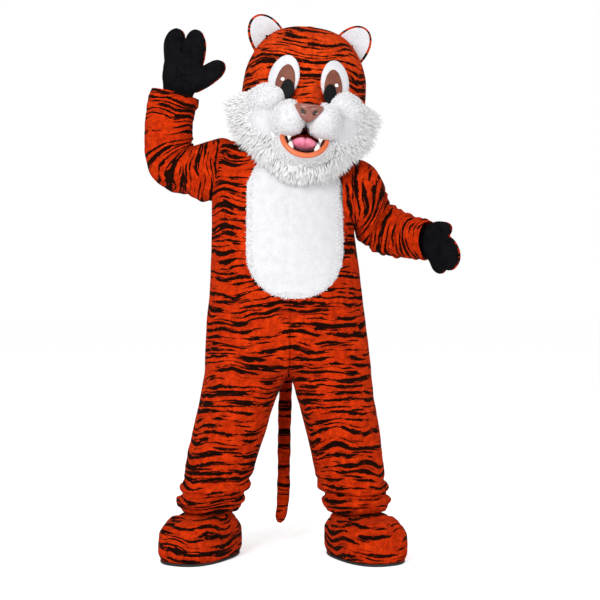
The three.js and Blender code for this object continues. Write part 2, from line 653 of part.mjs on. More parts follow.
function addHead() {
  const sides = [[1, 'left'], [-1, 'right']];
  headGroup.updateMatrix();
  const toHead = headGroup.matrix.clone().invert();
  const suit = [trunkPlug(BELLY.thickness + GAP, toHead),
    ...[armLeft, armRight].map((arm) => loft(placed(moved(arm.sheet, GAP, true), toHead)))];
  for (const [side, word] of sides) {
    add(`head_crown_${word}`, without(shellHalf(side), cavity(GAP)), 'print', headGroup);
    const cover = [headPlug(GAP), bridge(GAP), puff(side, GAP), cheek(side, GAP)];
    const eyeTop = GAP + EYE.plush;
    const irisTop = eyeTop + GAP + IRIS.thickness;
    const pupilTop = irisTop + GAP + PUPIL.thickness;
    const layers = [
      ['eye_surround', ovalOutline(side * EYE.x, EYE.z, EYE.halfWidth, EYE.halfHeight, side * EYE.lean),
        GAP, eyeTop, 'white'],
      ['iris', ovalOutline(side * IRIS.x, IRIS.z, IRIS.halfWidth, IRIS.halfHeight, side * 5),
        eyeTop + GAP, irisTop, 'iris'],
      ['pupil', ovalOutline(side * PUPIL.x, PUPIL.z, PUPIL.halfWidth, PUPIL.halfHeight, 0, 16),
        irisTop + GAP, pupilTop, 'pupil'],
      ['glint', ovalOutline(side * PUPIL.x - 7, GLINT.z, GLINT.radius, GLINT.radius, 0, 8),
        pupilTop + GAP, pupilTop + GAP + GLINT.thickness, 'glint'],
    ];
    for (const [name, outline, near, far, material] of layers) {
      const [, patch] = addOnShell(name, outline, near, far, material);
      add(`${name}_${word}`, without(patch, ...cover.slice(1)), material, headGroup);
    }
    add(`muzzle_${word}`, without(puff(side, 0), headPlug(GAP), nose(GAP), cavity(GAP), lip(GAP))
      .intersect(side > 0 ? box([SEAM, -400, -400], [400, 400, 400])
        : box([-400, -400, -400], [-SEAM, 400, 400])), 'white', headGroup);
    add(`cheek_${word}`, without(cheek(side, 0), headPlug(GAP), puff(side, GAP), bridge(GAP), jaw(GAP),
      cavity(GAP), lip(GAP)), 'white', headGroup);
    add(`ruff_${word}`, without(furRing(side, 28, -60, 0), headPlug(GAP), cheek(side, GAP), puff(side, GAP),
      jaw(GAP), cavity(GAP), chinFur(2 * GAP), ...suit), 'ruff', headGroup);
    addEar(side, word);
  }
  add('nose', nose(0), 'nose', headGroup);
  add('nose_bridge', without(bridge(0), headPlug(GAP), nose(GAP), puff(1, GAP), puff(-1, GAP),
    cavity(GAP)), 'print', headGroup);
  add('chin', without(chinFur(0).add(jaw(0)), headPlug(GAP), puff(1, GAP), puff(-1, GAP), cavity(GAP),
    lip(GAP), ...suit), 'ruff', headGroup);
  add('lip', without(lip(0), cavity(GAP)), 'lip', headGroup);
  addMouth();
}

function addMouth() {
  const opening = box([-200, -400, -400], [200, -262, 400]);
  add('mouth_lining', without(cavity(0), cavity(-4), opening), 'lining', headGroup);
  add('tongue', ellipsoid(...TONGUE, 0, [-12, 0, 0]).intersect(cavity(-4 - GAP)), 'tongue', headGroup);
  const teeth = table('name side x y z radius length', [
    ['tooth_lower', 1, 45, -254, -238, 9, 36], ['tooth_lower', -1, 45, -254, -238, 9, 36],
    ['tooth_upper', 1, 53, -250, -176, 7, -30], ['tooth_upper', -1, 53, -250, -176, 7, -30],
  ]);
  for (const tooth of teeth) {
    const cone = new THREE.ConeGeometry(tooth.radius, Math.abs(tooth.length), 8);
    cone.rotateX(tooth.length > 0 ? Math.PI / 2 : -Math.PI / 2);
    cone.translate(tooth.side * tooth.x, tooth.y, tooth.z + tooth.length / 2);
    const inMouth = fromGeometry(cone).intersect(cavity(-4 - GAP));
    add(`${tooth.name}_${tooth.side > 0 ? 'left' : 'right'}`,
      without(inMouth, puff(tooth.side, GAP), ellipsoid(...TONGUE, GAP, [-12, 0, 0])), 'tooth', headGroup);
  }
}

// An ear stands on the shell: a printed back that shows as a rim round the white lining.
function addEar(side, word) {
  const outline = (inset) => {
    const points = [[EAR.halfWidth - inset, -70], [EAR.halfWidth - inset, 0]];
    for (let i = 1; i < 12; i += 1) {
      const angle = (Math.PI * i) / 12;
      points.push([(EAR.halfWidth - inset) * Math.cos(angle),
        (EAR.height - inset) * Math.sin(angle) ** 0.8]);
    }
    points.push([-(EAR.halfWidth - inset), 0], [-(EAR.halfWidth - inset), -70]);
    return points;
  };
  const place = new THREE.Matrix4().makeRotationY(side * EAR.tilt * degrees);
  place.setPosition(side * EAR.x, 0, EAR.z);
  const back = prism(outline(0), 0, EAR.back, place);
  const lining = prism(outline(EAR.rim), -GAP - EAR.lining, -GAP, place);
  add(`ear_back_${word}`, without(back, headPlug(GAP)), 'print', headGroup);
  add(`ear_lining_${word}`, without(lining, headPlug(GAP)), 'white', headGroup);
}

// ---------------------------------------------------------------- paws
function rod(rounds, flat, grow, openEnd) {
  const rings = rounds.map((round, i) => {
    const before = rounds[Math.max(i - 1, 0)];
    const after = rounds[Math.min(i + 1, rounds.length - 1)];
    const along = point(after.x - before.x, 0, after.z - before.z).normalize();
    const across = point(along.z, 0, -along.x);
    const end = i === rounds.length - 1 ? grow : i === 0 && openEnd ? -60 : 0;
    const radius = Math.max(round.radius + grow, 1);
    const ring = [];
    for (let k = 0; k < 8; k += 1) {
      const angle = (2 * Math.PI * (k + 0.5)) / 8;
      ring.push(point(round.x, 0, round.z).addScaledVector(along, end)
        .addScaledVector(across, radius * Math.cos(angle))
        .add(point(0, (round.radius * flat + grow) * Math.sin(angle), 0)));
    }
    return ring;
  });
  return loft(rings);
}

function addMitt(word, mitt) {
  const middle = mitt.rods[0].rounds[0];
  const foreshortening = Math.cos(mitt.turn * degrees);
  const rods = mitt.rods.map(({ rounds, flat }) => (
    { flat, rounds: rounds.map((round) => ({ ...round, x: (round.x - middle.x) / foreshortening })) }));
  const whole = rods.map(({ rounds, flat }) => rod(rounds, flat, 0, false))
    .reduce((sum, piece) => sum.add(piece));
  const [hand] = rods;
  const hollow = without(whole, rod(hand.rounds, hand.flat, -PADDED_MITT, true));
  const group = new THREE.Group();
  group.position.set(middle.x, mitt.y, 0);
  group.rotation.z = mitt.turn * degrees;
  standing.add(group);
  const reach = 1000;
  add(`paw_palm_${word}`, hollow.intersect(box([-reach, -reach, 0], [reach, -SEAM, 3000])),
    'black', group);
  add(`paw_back_${word}`, hollow.intersect(box([-reach, SEAM, 0], [reach, reach, 3000])),
    'print', group);
}

// ---------------------------------------------------------------- boots and tail
function bootSheet(rows) {
  return rows.map((row) => {
    const ring = [];
    for (let i = 0; i < 16; i += 1) {
      const angle = (2 * Math.PI * i) / 16;
      const soft = (value) => Math.sign(value) * Math.abs(value) ** 0.8;
      ring.push(point(row.halfWidth * soft(Math.cos(angle)),
        row.back + row.halfLength * soft(Math.sin(angle)), row.height));
    }
    return ring;
  });
}

function addBoot(word, place) {
  const group = new THREE.Group();
  group.position.set(place.x, place.y, 0);
  group.rotation.z = place.turn * degrees;
  standing.add(group);
  const thickness = -BOOT_WALL_THICKNESS;
  for (const [name, rows] of [['foot_side', BOOT_WALL], ['foot_upper', BOOT_UPPER]]) {
    const sheet = outwards(bootSheet(rows));
    add(`${name}_${word}`, wall(sheet, moved(sheet, thickness, true).map((line, i) => (
      line.map((p) => point(p.x, p.y, Math.max(p.z, rows[0].height + (i > 0 ? 1 : 0)))))), true),
    'print', group);
  }
  const sole = bootSheet(table('height halfLength halfWidth back', [
    [0, 174, 107, 0], [3, 180, 113, 0], [SOLE_THICKNESS, 180, 113, 0]]));
  add(`foot_sole_${word}`, loft(sole), 'rubber', group);
}

function addTail() {
  const rings = TAIL_PATH.map((row, i) => {
    const before = TAIL_PATH[Math.max(i - 1, 0)];
    const after = TAIL_PATH[Math.min(i + 1, TAIL_PATH.length - 1)];
    const along = point(after.x - before.x, after.y - before.y, after.height - before.height).normalize();
    const across = point(0, 1, 0).cross(along).normalize();
    const forward = along.clone().cross(across);
    const ring = [];
    for (let k = 0; k < 10; k += 1) {
      const angle = (2 * Math.PI * k) / 10;
      ring.push(point(row.x, row.y, row.height).addScaledVector(across, row.radius * Math.cos(angle))
        .addScaledVector(forward, row.radius * Math.sin(angle)));
    }
    return ring;
  });
  add('tail', without(loft(rings), trunkPlug(GAP)), 'print');
}

// ---------------------------------------------------------------- assembly
const armRight = addSleeve('sleeve_right', SLEEVE_RIGHT);
const armLeft = addSleeve('sleeve_left', SLEEVE_LEFT);
const slot = backStrip(ZIP.bottom - 4, ZIP.top + 4, ZIP.slotHalf, -20, 20);
for (const [name, side, face] of [
  ['front_left', 1, 1], ['front_right', -1, 1], ['back_left', 1, -1], ['back_right', -1, -1]]) {
  add(name, without(panel(side, face), side > 0 ? armLeft.room : armRight.room, slot), 'print');
}
addBelly();
addZip();
addTail();
addHead();
addMitt('right', MITT_RIGHT);
addMitt('left', MITT_LEFT);
addBoot('left', BOOT_LEFT);
addBoot('right', BOOT_RIGHT);

export default costume;
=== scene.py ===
"""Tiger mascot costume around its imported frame: jumpsuit with tail, hollow head, paws and boot feet.

Sizes are in millimetres above the soles, as a maker marks them, and become metres in the row frame
in place(). The costume faces -Y and the wearer's left is +X."""
import math

import bmesh
import bpy
import numpy as np
from mathutils import Matrix, Vector
from mathutils.bvhtree import BVHTree


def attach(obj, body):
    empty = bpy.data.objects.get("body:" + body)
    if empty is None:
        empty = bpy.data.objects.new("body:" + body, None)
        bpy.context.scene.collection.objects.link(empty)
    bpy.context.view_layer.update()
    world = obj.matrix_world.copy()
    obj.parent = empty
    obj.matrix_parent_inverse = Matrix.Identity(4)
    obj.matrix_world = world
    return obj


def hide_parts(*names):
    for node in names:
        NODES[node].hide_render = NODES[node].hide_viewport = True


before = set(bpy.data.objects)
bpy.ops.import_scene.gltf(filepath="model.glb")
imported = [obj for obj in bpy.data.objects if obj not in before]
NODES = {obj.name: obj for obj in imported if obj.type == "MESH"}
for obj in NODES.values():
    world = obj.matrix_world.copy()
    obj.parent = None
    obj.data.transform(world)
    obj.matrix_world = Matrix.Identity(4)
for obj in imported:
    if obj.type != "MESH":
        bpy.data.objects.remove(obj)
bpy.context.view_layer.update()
COSTUME = "costume"

SHOULDER_HEIGHT = 1470
MM = 0.001
PLUSH = 3.0
FOAM_PLUSH = 9.0
BOOT_WALL_THICKNESS = 8.0
PADDED_MITT = 4.0
SIDES = ((1, "left"), (-1, "right"))

# ------------------------------------------------------------------ section tables
SUIT_COLUMNS = ("height shift turn left crotch_left right crotch_right front back "
                "lift_left lift_right").split()
SUIT = [
    (164, 0, 0, 354, 136, 396, 186, 106, 114, 0, 0),
    (186, 0, 0, 366, 126, 410, 172, 120, 124, 0, 0),
    (206, 0, 0, 367, 124, 408, 166, 122, 126, 0, 0),
    (224, 0, 0, 356, 128, 394, 164, 110, 116, 0, 0),
    (242, 0, 0, 362, 116, 396, 150, 120, 124, 0, 0),
    (262, 0, 0, 354, 106, 388, 146, 118, 122, 0, 0),
    (340, 0, 0, 344, 88, 377, 122, 127, 132, 0, 0),
    (450, 0, 0, 333, 62, 354, 86, 136, 143, 0, 0),
    (580, 0, 0, 310, 28, 326, 44, 150, 158, 0, 0),
    (659, 0, 0, 301, 0, 310, 0, 160, 174, 0, 0),
    (672, 0, 0, 300, -28, 308, -28, 162, 178, 0, 0),
    (692, 0, 1, 299, -78, 307, -78, 165, 184, 0, 0),
    (722, -1, 2, 297, -148, 305, -148, 169, 190, 0, 0),
    (780, -4, 3, 294, -244, 300, -244, 174, 192, 0, 0),
    (860, -8, 4, 289, -289, 292, -289, 180, 184, 0, 0),
    (960, -11, 6, 280, -280, 280, -280, 184, 172, 0, 0),
    (1070, -15, 8, 271, -271, 271, -271, 184, 161, 0, 0),
    (1190, -19, 11, 260, -260, 265, -265, 178, 155, 0, 0),
    (1270, -20, 12, 259, -259, 264, -264, 172, 151, 0, 0),
    (1340, -20, 12, 264, -264, 264, -264, 166, 148, 4, 20),
    (1390, -18, 12, 262, -262, 258, -258, 156, 141, 10, 54),
    (1424, -12, 11, 240, -240, 238, -238, 142, 131, 12, 74),
    (1444, -6, 10, 196, -196, 202, -202, 126, 118, 12, 66),
    (1455, 0, 8, 148, -148, 152, -152, 111, 106, 6, 36),
    (1462, 4, 8, 108, -108, 110, -110, 98, 95, 0, 8),
]
SLEEVE_COLUMNS = "top_x top_z under_x under_z y half_depth turn".split()
SLEEVE_RIGHT = [
    (-150, 1478, -170, 1300, 0, 96, 0), (-243, 1526, -246, 1286, 0, 102, 0),
    (-290, 1513, -304, 1292, -4, 101, 0), (-332, 1500, -366, 1310, -9, 98, 0),
    (-348, 1496, -428, 1331, -15, 96, 4), (-352, 1500, -478, 1357, -21, 94, 6),
    (-353, 1508, -509, 1402, -28, 93, 8), (-351, 1528, -522, 1476, -38, 91, 8),
    (-346, 1575, -520, 1568, -52, 87, 4), (-338, 1606, -515, 1626, -60, 86, 0),
    (-326, 1634, -504, 1672, -66, 85, 0), (-320, 1652, -496, 1696, -70, 83, 0),
]
SLEEVE_LEFT = [
    (190, 1420, 196, 1216, 0, 100, 0), (256, 1447, 244, 1204, 6, 106, -6),
    (303, 1424, 250, 1184, 22, 101, -18), (334, 1376, 256, 1163, 44, 96, -20),
    (357, 1331, 272, 1142, 64, 92, -8), (370, 1303, 302, 1120, 76, 90, 12),
    (387, 1282, 338, 1104, 78, 88, 26), (410, 1267, 374, 1094, 70, 86, 33),
    (442, 1248, 428, 1087, 46, 82, 37), (476, 1236, 470, 1083, 14, 77, 39),
    (512, 1226, 506, 1080, -20, 73, 39),
]
HEAD_COLUMNS = "height half front back".split()
HEAD_SHELL = [
    (-208, 170, 164, 168), (-145, 205, 196, 202), (-90, 219, 208, 214), (-20, 226, 215, 221),
    (45, 222, 214, 220), (110, 203, 200, 205), (165, 172, 170, 175), (203, 132, 130, 134),
    (223, 86, 84, 86), (231, 40, 39, 40),
]
HEAD_PLACE = (55, -8, 1690)
HEAD_ROLL = 6
HEAD_YAW = 5
BELLY = {"centre": 22, "half_width": 172, "bottom": 940, "straight": 1110, "top": 1440}
ZIP_SLOT = {"bottom": 926, "top": 1390, "half": 4.5}
BOOT_COLUMNS = "height half_length half_width back".split()
BOOT_WALL = [(9.3, 178, 111, 0), (40, 187, 120, 0), (96, 186, 119, 0), (132, 168, 102, 0)]
BOOT_UPPER = [(132.3, 168, 102, 0), (149, 142, 90, 10), (158, 90, 76, 60), (196, 78, 69, 64)]
BOOTS = ((276, -57, 27, "left"), (-320, -57, -27, "right"))
TAIL_PATH = [
    (-4, 172, 806, 22), (-5, 208, 790, 25), (-7, 224, 752, 26), (-10, 226, 690, 26),
    (-15, 221, 590, 25), (-19, 213, 470, 25), (-21, 207, 340, 24), (-23, 204, 210, 24),
    (-28, 199, 138, 23), (-36, 192, 98, 17), (-40, 189, 84, 7),
]
NOSE = [(-142, -296, 8, 12), (-128, -296, 26, 24), (-108, -296, 44, 34), (-92, -294, 52, 38),
        (-82, -290, 50, 34), (-77, -284, 40, 22)]
BRIDGE = [(-90, -190, 60, 118), (-74, -190, 58, 114), (-50, -185, 50, 104), (-20, -180, 42, 82),
          (15, -175, 38, 58), (50, -170, 34, 42), (76, -165, 26, 34)]
FUR_COLUMNS = "angle root reach tip_y root_front root_back".split()
FUR = [
    (-90, 134, 272, -182, -222, -110), (-75, 138, 268, -172, -220, -90),
    (-60, 146, 258, -150, -214, -40), (-45, 158, 256, -122, -200, -8),
    (-30, 168, 262, -100, -180, 6), (-15, 176, 272, -90, -160, 12), (0, 182, 272, -84, -140, 12),
    (14, 190, 262, -78, -120, 10), (28, 196, 240, -70, -95, 0),
]
FUR_CENTRE_Z = -68
MITTS = {
    "right": {"turn": -20, "y": -72, "rods": [
        (0.46, [(-402, 1650, 58), (-398, 1684, 62), (-388, 1722, 76), (-381, 1764, 77),
                (-376, 1800, 74), (-374, 1816, 62)]),
        (0.86, [(-404, 1770, 36), (-411, 1812, 40), (-412, 1850, 40), (-405, 1882, 35),
                (-400, 1902, 24), (-398, 1911, 9)]),
        (0.86, [(-346, 1770, 36), (-337, 1812, 40), (-334, 1848, 40), (-336, 1876, 34),
                (-339, 1894, 23), (-341, 1902, 9)]),
        (0.90, [(-345, 1712, 40), (-306, 1728, 38), (-274, 1746, 36), (-250, 1762, 31),
                (-234, 1772, 20), (-228, 1776, 8)])]},
    "left": {"turn": -41, "y": 17, "rods": [
        (0.50, [(470, 1154, 50), (492, 1152, 56), (516, 1148, 66), (540, 1141, 66),
                (556, 1134, 56), (562, 1130, 40)]),
        (0.92, [(512, 1176, 30), (538, 1188, 31), (560, 1190, 29), (576, 1184, 22),
                (582, 1181, 9)]),
        (0.92, [(552, 1142, 35), (575, 1118, 37), (583, 1092, 36), (578, 1066, 31),
                (572, 1050, 20), (569, 1044, 8)]),
        (0.92, [(520, 1118, 33), (536, 1092, 34), (545, 1066, 33), (549, 1046, 27),
                (551, 1034, 17), (552, 1028, 7)])]},
}

# ------------------------------------------------------------------ shapes from tables
def smooth_through(places, values, at):
    """A smooth curve through table values that never overshoots them."""
    places = np.asarray(places, float)
    values = np.asarray(values, float)
    gaps = np.diff(places)
    slopes = np.diff(values) / gaps
    tangents = np.zeros_like(values)
    same = slopes[1:] * slopes[:-1] > 0
    weight_a = 2 * gaps[1:] + gaps[:-1]
    weight_b = gaps[1:] + 2 * gaps[:-1]
    with np.errstate(divide="ignore", invalid="ignore"):
        mean = (weight_a + weight_b) / (weight_a / slopes[:-1] + weight_b / slopes[1:])
    tangents[1:-1] = np.where(same, mean, 0)
    tangents[0] = slopes[0]
    tangents[-1] = slopes[-1]
    i = np.clip(np.searchsorted(places, at) - 1, 0, len(gaps) - 1)
    t = (at - places[i]) / gaps[i]
    h = gaps[i]
    return ((2 * t**3 - 3 * t**2 + 1) * values[i] + (t**3 - 2 * t**2 + t) * h * tangents[i]
            + (-2 * t**3 + 3 * t**2) * values[i + 1] + (t**3 - t**2) * h * tangents[i + 1])


def rows_at(columns, rows, places, at):
    """Every column of a table, read smoothly at more places."""
    table = np.asarray(rows, float)
    return {name: smooth_through(places, table[:, i], at) for i, name in enumerate(columns)}


def place(points):
    """Millimetres above the soles to metres in the row frame."""
    points = np.asarray(points, float)
    return (points - np.array([0, 0, SHOULDER_HEIGHT])) * MM


def turned(points, degrees, shift=0.0):
    """Points turned about Z, by one angle or an angle a row, then moved sideways."""
    angle = np.radians(degrees)
    cos, sin = np.cos(angle), np.sin(angle)
    x = points[..., 0] * cos - points[..., 1] * sin + shift
    y = points[..., 0] * sin + points[..., 1] * cos
    return np.stack([x, y, points[..., 2]], -1)


HEAD_MATRIX = (Matrix.Translation(HEAD_PLACE) @ Matrix.Rotation(math.radians(HEAD_ROLL), 4, "Y")
               @ Matrix.Rotation(math.radians(HEAD_YAW), 4, "Z"))


def on_head(points):
    """Millimetres in the head's own frame to metres in the row frame."""
    matrix = np.array(HEAD_MATRIX)
    return place(np.asarray(points, float) @ matrix[:3, :3].T + matrix[:3, 3])


def from_head(points):
    """Metres in the row frame back to metres in the head's own frame."""
    matrix = np.array(HEAD_MATRIX.inverted())
    lifted = np.asarray(points, float) / MM + np.array([0, 0, SHOULDER_HEIGHT])
    return (lifted @ matrix[:3, :3].T + matrix[:3, 3]) * MM


def sheet_normals(sheet, closed):
    """Unit normals of a grid of points, rows by columns."""
    up = np.gradient(sheet, axis=0)
    if closed:
        across = (np.roll(sheet, -1, 1) - np.roll(sheet, 1, 1)) / 2
    else:
        across = np.gradient(sheet, axis=1)
    normal = np.cross(across, up)
    return normal / np.maximum(np.linalg.norm(normal, axis=-1, keepdims=True), 1e-9)


def signed_volume(points, faces):
    """Six times the enclosed volume, negative when the faces point inwards."""
    total = 0.0
    for face in faces:
        a = points[face[0]]
        for b, c in zip(face[1:-1], face[2:]):
            total += float(np.dot(a, np.cross(points[b], points[c])))
    return total


def grid_faces(rows, columns, closed, start=0, flip=False):
    """Four-sided faces between the points of a grid, counted from a first point."""
    i = np.arange(rows - 1)[:, None]
    j = np.arange(columns if closed else columns - 1)[None, :]
    k = (j + 1) % columns
    quads = [start + i * columns + j, start + i * columns + k,
             start + (i + 1) * columns + k, start + (i + 1) * columns + j]
    faces = np.stack([np.broadcast_to(q, (rows - 1, j.size)) for q in quads], -1).reshape(-1, 4)
    return faces[:, ::-1] if flip else faces


def wall_mesh(outer, inner, closed):
    """A closed wall between two grids of points: outer face, inner face and rims."""
    rows, columns = outer.shape[:2]
    inner_start = rows * columns
    points = np.concatenate([outer.reshape(-1, 3), inner.reshape(-1, 3)])
    faces = [grid_faces(rows, columns, closed), grid_faces(rows, columns, closed, inner_start, True)]
    j = np.arange(columns if closed else columns - 1)
    k = (j + 1) % columns
    last = (rows - 1) * columns
    faces.append(np.stack([j, j + inner_start, k + inner_start, k], -1))
    faces.append(np.stack([last + k, last + k + inner_start, last + j + inner_start, last + j], -1))
    if not closed:
        i = np.arange(rows - 1) * columns
        far = i + columns - 1
        faces.append(np.stack([i + columns, i + columns + inner_start, i + inner_start, i], -1))
        faces.append(np.stack([far, far + inner_start, far + columns + inner_start, far + columns], -1))
    return points, np.concatenate(faces)


def new_object(name, points, faces, smooth=True):
    """A mesh object with its faces outwards and no doubled points."""
    faces = [tuple(int(i) for i in dict.fromkeys(face)) for face in faces]
    faces = [face for face in faces if len(face) > 2]
    if signed_volume(np.asarray(points, float), faces) < 0:
        faces = [face[::-1] for face in faces]
    mesh = bpy.data.meshes.new(name)
    mesh.from_pydata([tuple(p) for p in points], [], faces)
    mesh.validate()
    obj = bpy.data.objects.new(name, mesh)
    bpy.context.scene.collection.objects.link(obj)
    if smooth:
        mesh.polygons.foreach_set("use_smooth", [True] * len(mesh.polygons))
    return obj


def closed_tube(name, ring):
    """A closed body through rings of points, in metres, with flat ends."""
    count, sides = ring.shape[:2]
    faces = [tuple(f) for f in grid_faces(count, sides, True)]
    faces += [tuple(range(sides))[::-1], tuple(range((count - 1) * sides, count * sides))]
    return new_object(name, ring.reshape(-1, 3), faces)


def points_of(obj):
    co = np.zeros(len(obj.data.vertices) * 3)
    obj.data.vertices.foreach_get("co", co)
    return co.reshape(-1, 3)


def set_points(obj, points):
    obj.data.vertices.foreach_set("co", np.asarray(points, float).ravel())
    obj.data.update()


def normals_of(obj):
    out = np.zeros(len(obj.data.vertices) * 3)
    obj.data.vertices.foreach_get("normal", out)
    return out.reshape(-1, 3)


def note(obj, name, values):
    """Writes a value or a vector on every point, for the materials and the fur to read."""
    values = np.asarray(values, float)
    kind = "FLOAT_VECTOR" if values.ndim == 2 else "FLOAT"
    attribute = obj.data.attributes.new(name, kind, "POINT")
    attribute.data.foreach_set("vector" if values.ndim == 2 else "value", values.ravel())


def merged(obj, distance=0.00005):
    mesh = bmesh.new()
    mesh.from_mesh(obj.data)
    bmesh.ops.remove_doubles(mesh, verts=mesh.verts, dist=distance)
    bmesh.ops.recalc_face_normals(mesh, faces=mesh.faces)
    mesh.to_mesh(obj.data)
    mesh.free()
    return obj


def applied(obj):
    """The object with its modifiers worked into a plain mesh."""
    graph = bpy.context.evaluated_depsgraph_get()
    mesh = bpy.data.meshes.new_from_object(obj.evaluated_get(graph))
    obj.modifiers.clear()
    obj.data = mesh
    return obj


def tree_of(obj):
    graph = bpy.context.evaluated_depsgraph_get()
    return BVHTree.FromObject(obj, graph)


def remove(obj):
    bpy.data.objects.remove(obj, do_unlink=True)


def cut_away(obj, *cutters):
    """Takes the cutters' solids out of the piece."""
    for cutter in cutters:
        cut = obj.modifiers.new("cut", "BOOLEAN")
        cut.operation = "DIFFERENCE"
        cut.solver = "EXACT"
        cut.object = cutter
    applied(obj)
    obj.data.polygons.foreach_set("use_smooth", [True] * len(obj.data.polygons))
    return obj


def near(values, centre, width):
    return np.exp(-(((values - centre) / width) ** 2))


def lumps(points, size, seed):
    """Smooth uneven swelling from -1 to 1, from a few crossed waves, the same every run."""
    rng = np.random.default_rng(seed)
    total = np.zeros(points.shape[:-1])
    for _ in range(7):
        direction = rng.normal(size=3)
        direction *= (2 * math.pi / size) * rng.uniform(0.6, 1.4) / np.linalg.norm(direction)
        total += np.sin(points @ direction + rng.uniform(0, 2 * math.pi))
    return total / 4


# ------------------------------------------------------------------ materials
def add_node(tree, kind, inputs=None, **settings):
    """A node with its settings, and its inputs joined to sockets or set to values."""
    node = tree.nodes.new(kind)
    for name, value in settings.items():
        setattr(node, name, value)
    for key, value in (inputs or {}).items():
        socket = node.inputs[key]
        if isinstance(value, bpy.types.NodeSocket):
            tree.links.new(value, socket)
        else:
            socket.default_value = value
    return node


def maths(tree, operation, a, b=0.0, c=0.0, clamp=False):
    node = add_node(tree, "ShaderNodeMath", {0: a, 1: b, 2: c}, operation=operation)
    node.use_clamp = clamp
    return node.outputs[0]


def vector_maths(tree, operation, a, b=(0, 0, 0)):
    return add_node(tree, "ShaderNodeVectorMath", {0: a, 1: b}, operation=operation).outputs[0]


def noise(tree, vector, scale, detail=2.0, rough=0.5):
    return add_node(tree, "ShaderNodeTexNoise",
                    {"Vector": vector, "Scale": scale, "Detail": detail, "Roughness": rough})


def ramp(tree, value, low, high, to_low=0.0, to_high=1.0):
    return add_node(tree, "ShaderNodeMapRange",
                    {"Value": value, "From Min": low, "From Max": high, "To Min": to_low,
                     "To Max": to_high}, interpolation_type="SMOOTHSTEP").outputs[0]


def mixed(tree, factor, a, b):
    node = add_node(tree, "ShaderNodeMix", data_type="RGBA")
    for key, value in ((0, factor), (6, a), (7, b)):
        if isinstance(value, bpy.types.NodeSocket):
            tree.links.new(value, node.inputs[key])
        else:
            node.inputs[key].default_value = value
    return node.outputs[2]


def new_group(name, inputs, outputs):
    """A shader node group with named inputs and outputs, and its two end nodes."""
    tree = bpy.data.node_groups.new(name, "ShaderNodeTree")
    for label, kind, default in inputs:
        socket = tree.interface.new_socket(label, in_out="INPUT", socket_type=kind)
        if default is not None:
            socket.default_value = default
    for label, kind in outputs:
        tree.interface.new_socket(label, in_out="OUTPUT", socket_type=kind)
    return tree, tree.nodes.new("NodeGroupInput"), tree.nodes.new("NodeGroupOutput")


def dash_layer(tree, vector, row_height, length_scale, seed, fullest, cover):
    """One layer of tapered dashes in rows: 1 inside a dash, 0 between them."""
    parts = add_node(tree, "ShaderNodeSeparateXYZ", {0: vector})
    row = maths(tree, "DIVIDE", parts.outputs[2], row_height)
    index = maths(tree, "FLOOR", row)
    inside = maths(tree, "FRACT", row)
    lane = maths(tree, "MULTIPLY_ADD", index, 7.31, seed)
    along = add_node(tree, "ShaderNodeCombineXYZ", {
        0: maths(tree, "MULTIPLY", parts.outputs[0], length_scale),
        1: maths(tree, "MULTIPLY", parts.outputs[1], length_scale), 2: lane}).outputs[0]
    swell = ramp(tree, noise(tree, along, 1.0, 1.6).outputs[0], 0.56 - cover, 0.74 - cover, 0.0, fullest)
    drift = noise(tree, vector_maths(tree, "ADD", along, (17.0, 5.0, 3.0)), 1.4, 1.0).outputs[0]
    centre = maths(tree, "MULTIPLY_ADD", drift, 0.7, 0.15)
    off = maths(tree, "ABSOLUTE", maths(tree, "SUBTRACT", inside, centre))
    return maths(tree, "SUBTRACT", swell, off)


def striped_print_group():
    """Short black dashes with thin whiskers on orange, drawn in rows across the cloth's Z."""
    tree, start, end = new_group("striped_print", [
        ("Vector", "NodeSocketVector", None), ("Row Height", "NodeSocketFloat", 0.034),
        ("Ground", "NodeSocketColor", (0.6, 0.045, 0.006, 1)),
        ("Deep", "NodeSocketColor", (0.36, 0.02, 0.003, 1)),
        ("Stripe", "NodeSocketColor", (0.010, 0.0022, 0.0010, 1))],
        [("Color", "NodeSocketColor"), ("Stripe Mask", "NodeSocketFloat")])
    vector = start.outputs["Vector"]
    row_height = start.outputs["Row Height"]
    wide = noise(tree, vector, 6.0, 1.0).outputs["Color"]
    fine = noise(tree, vector, 85.0, 2.0, 0.6).outputs["Color"]
    bent = vector_maths(tree, "MULTIPLY", vector_maths(tree, "SUBTRACT", wide, (0.5, 0.5, 0.5)),
                        (0.05, 0.05, 0.085))
    ragged = vector_maths(tree, "MULTIPLY", vector_maths(tree, "SUBTRACT", fine, (0.5, 0.5, 0.5)),
                          (0.010, 0.010, 0.0075))
    moved = vector_maths(tree, "ADD", vector_maths(tree, "ADD", vector, bent), ragged)
    bold = dash_layer(tree, moved, row_height, 6.5, 2.7, 0.33, 0.155)
    shifted = vector_maths(tree, "ADD", moved, (0.31, 0.23, 0.019))
    thin = dash_layer(tree, shifted, maths(tree, "MULTIPLY", row_height, 0.62), 8.5, 31.4, 0.26, 0.13)
    strongest = maths(tree, "MAXIMUM", bold, thin)
    split = noise(tree, vector_maths(tree, "MULTIPLY", moved, (22.0, 22.0, 150.0)), 1.0, 1.0).outputs[0]
    cut = ramp(tree, split, 0.56, 0.66, 0.0, 0.20)
    mask = ramp(tree, maths(tree, "SUBTRACT", strongest, cut), -0.015, 0.075)
    tone = ramp(tree, noise(tree, vector, 26.0, 3.0, 0.6).outputs[0], 0.30, 0.75)
    streak = noise(tree, vector_maths(tree, "MULTIPLY", vector, (420.0, 420.0, 130.0)), 1.0, 2.0).outputs[0]
    worn = maths(tree, "MULTIPLY", tone, ramp(tree, streak, 0.25, 0.75, 0.72, 1.0))
    orange = mixed(tree, worn, start.outputs["Deep"], start.outputs["Ground"])
    tree.links.new(mixed(tree, mask, orange, start.outputs["Stripe"]), end.inputs["Color"])
    tree.links.new(mask, end.inputs["Stripe Mask"])
    return tree


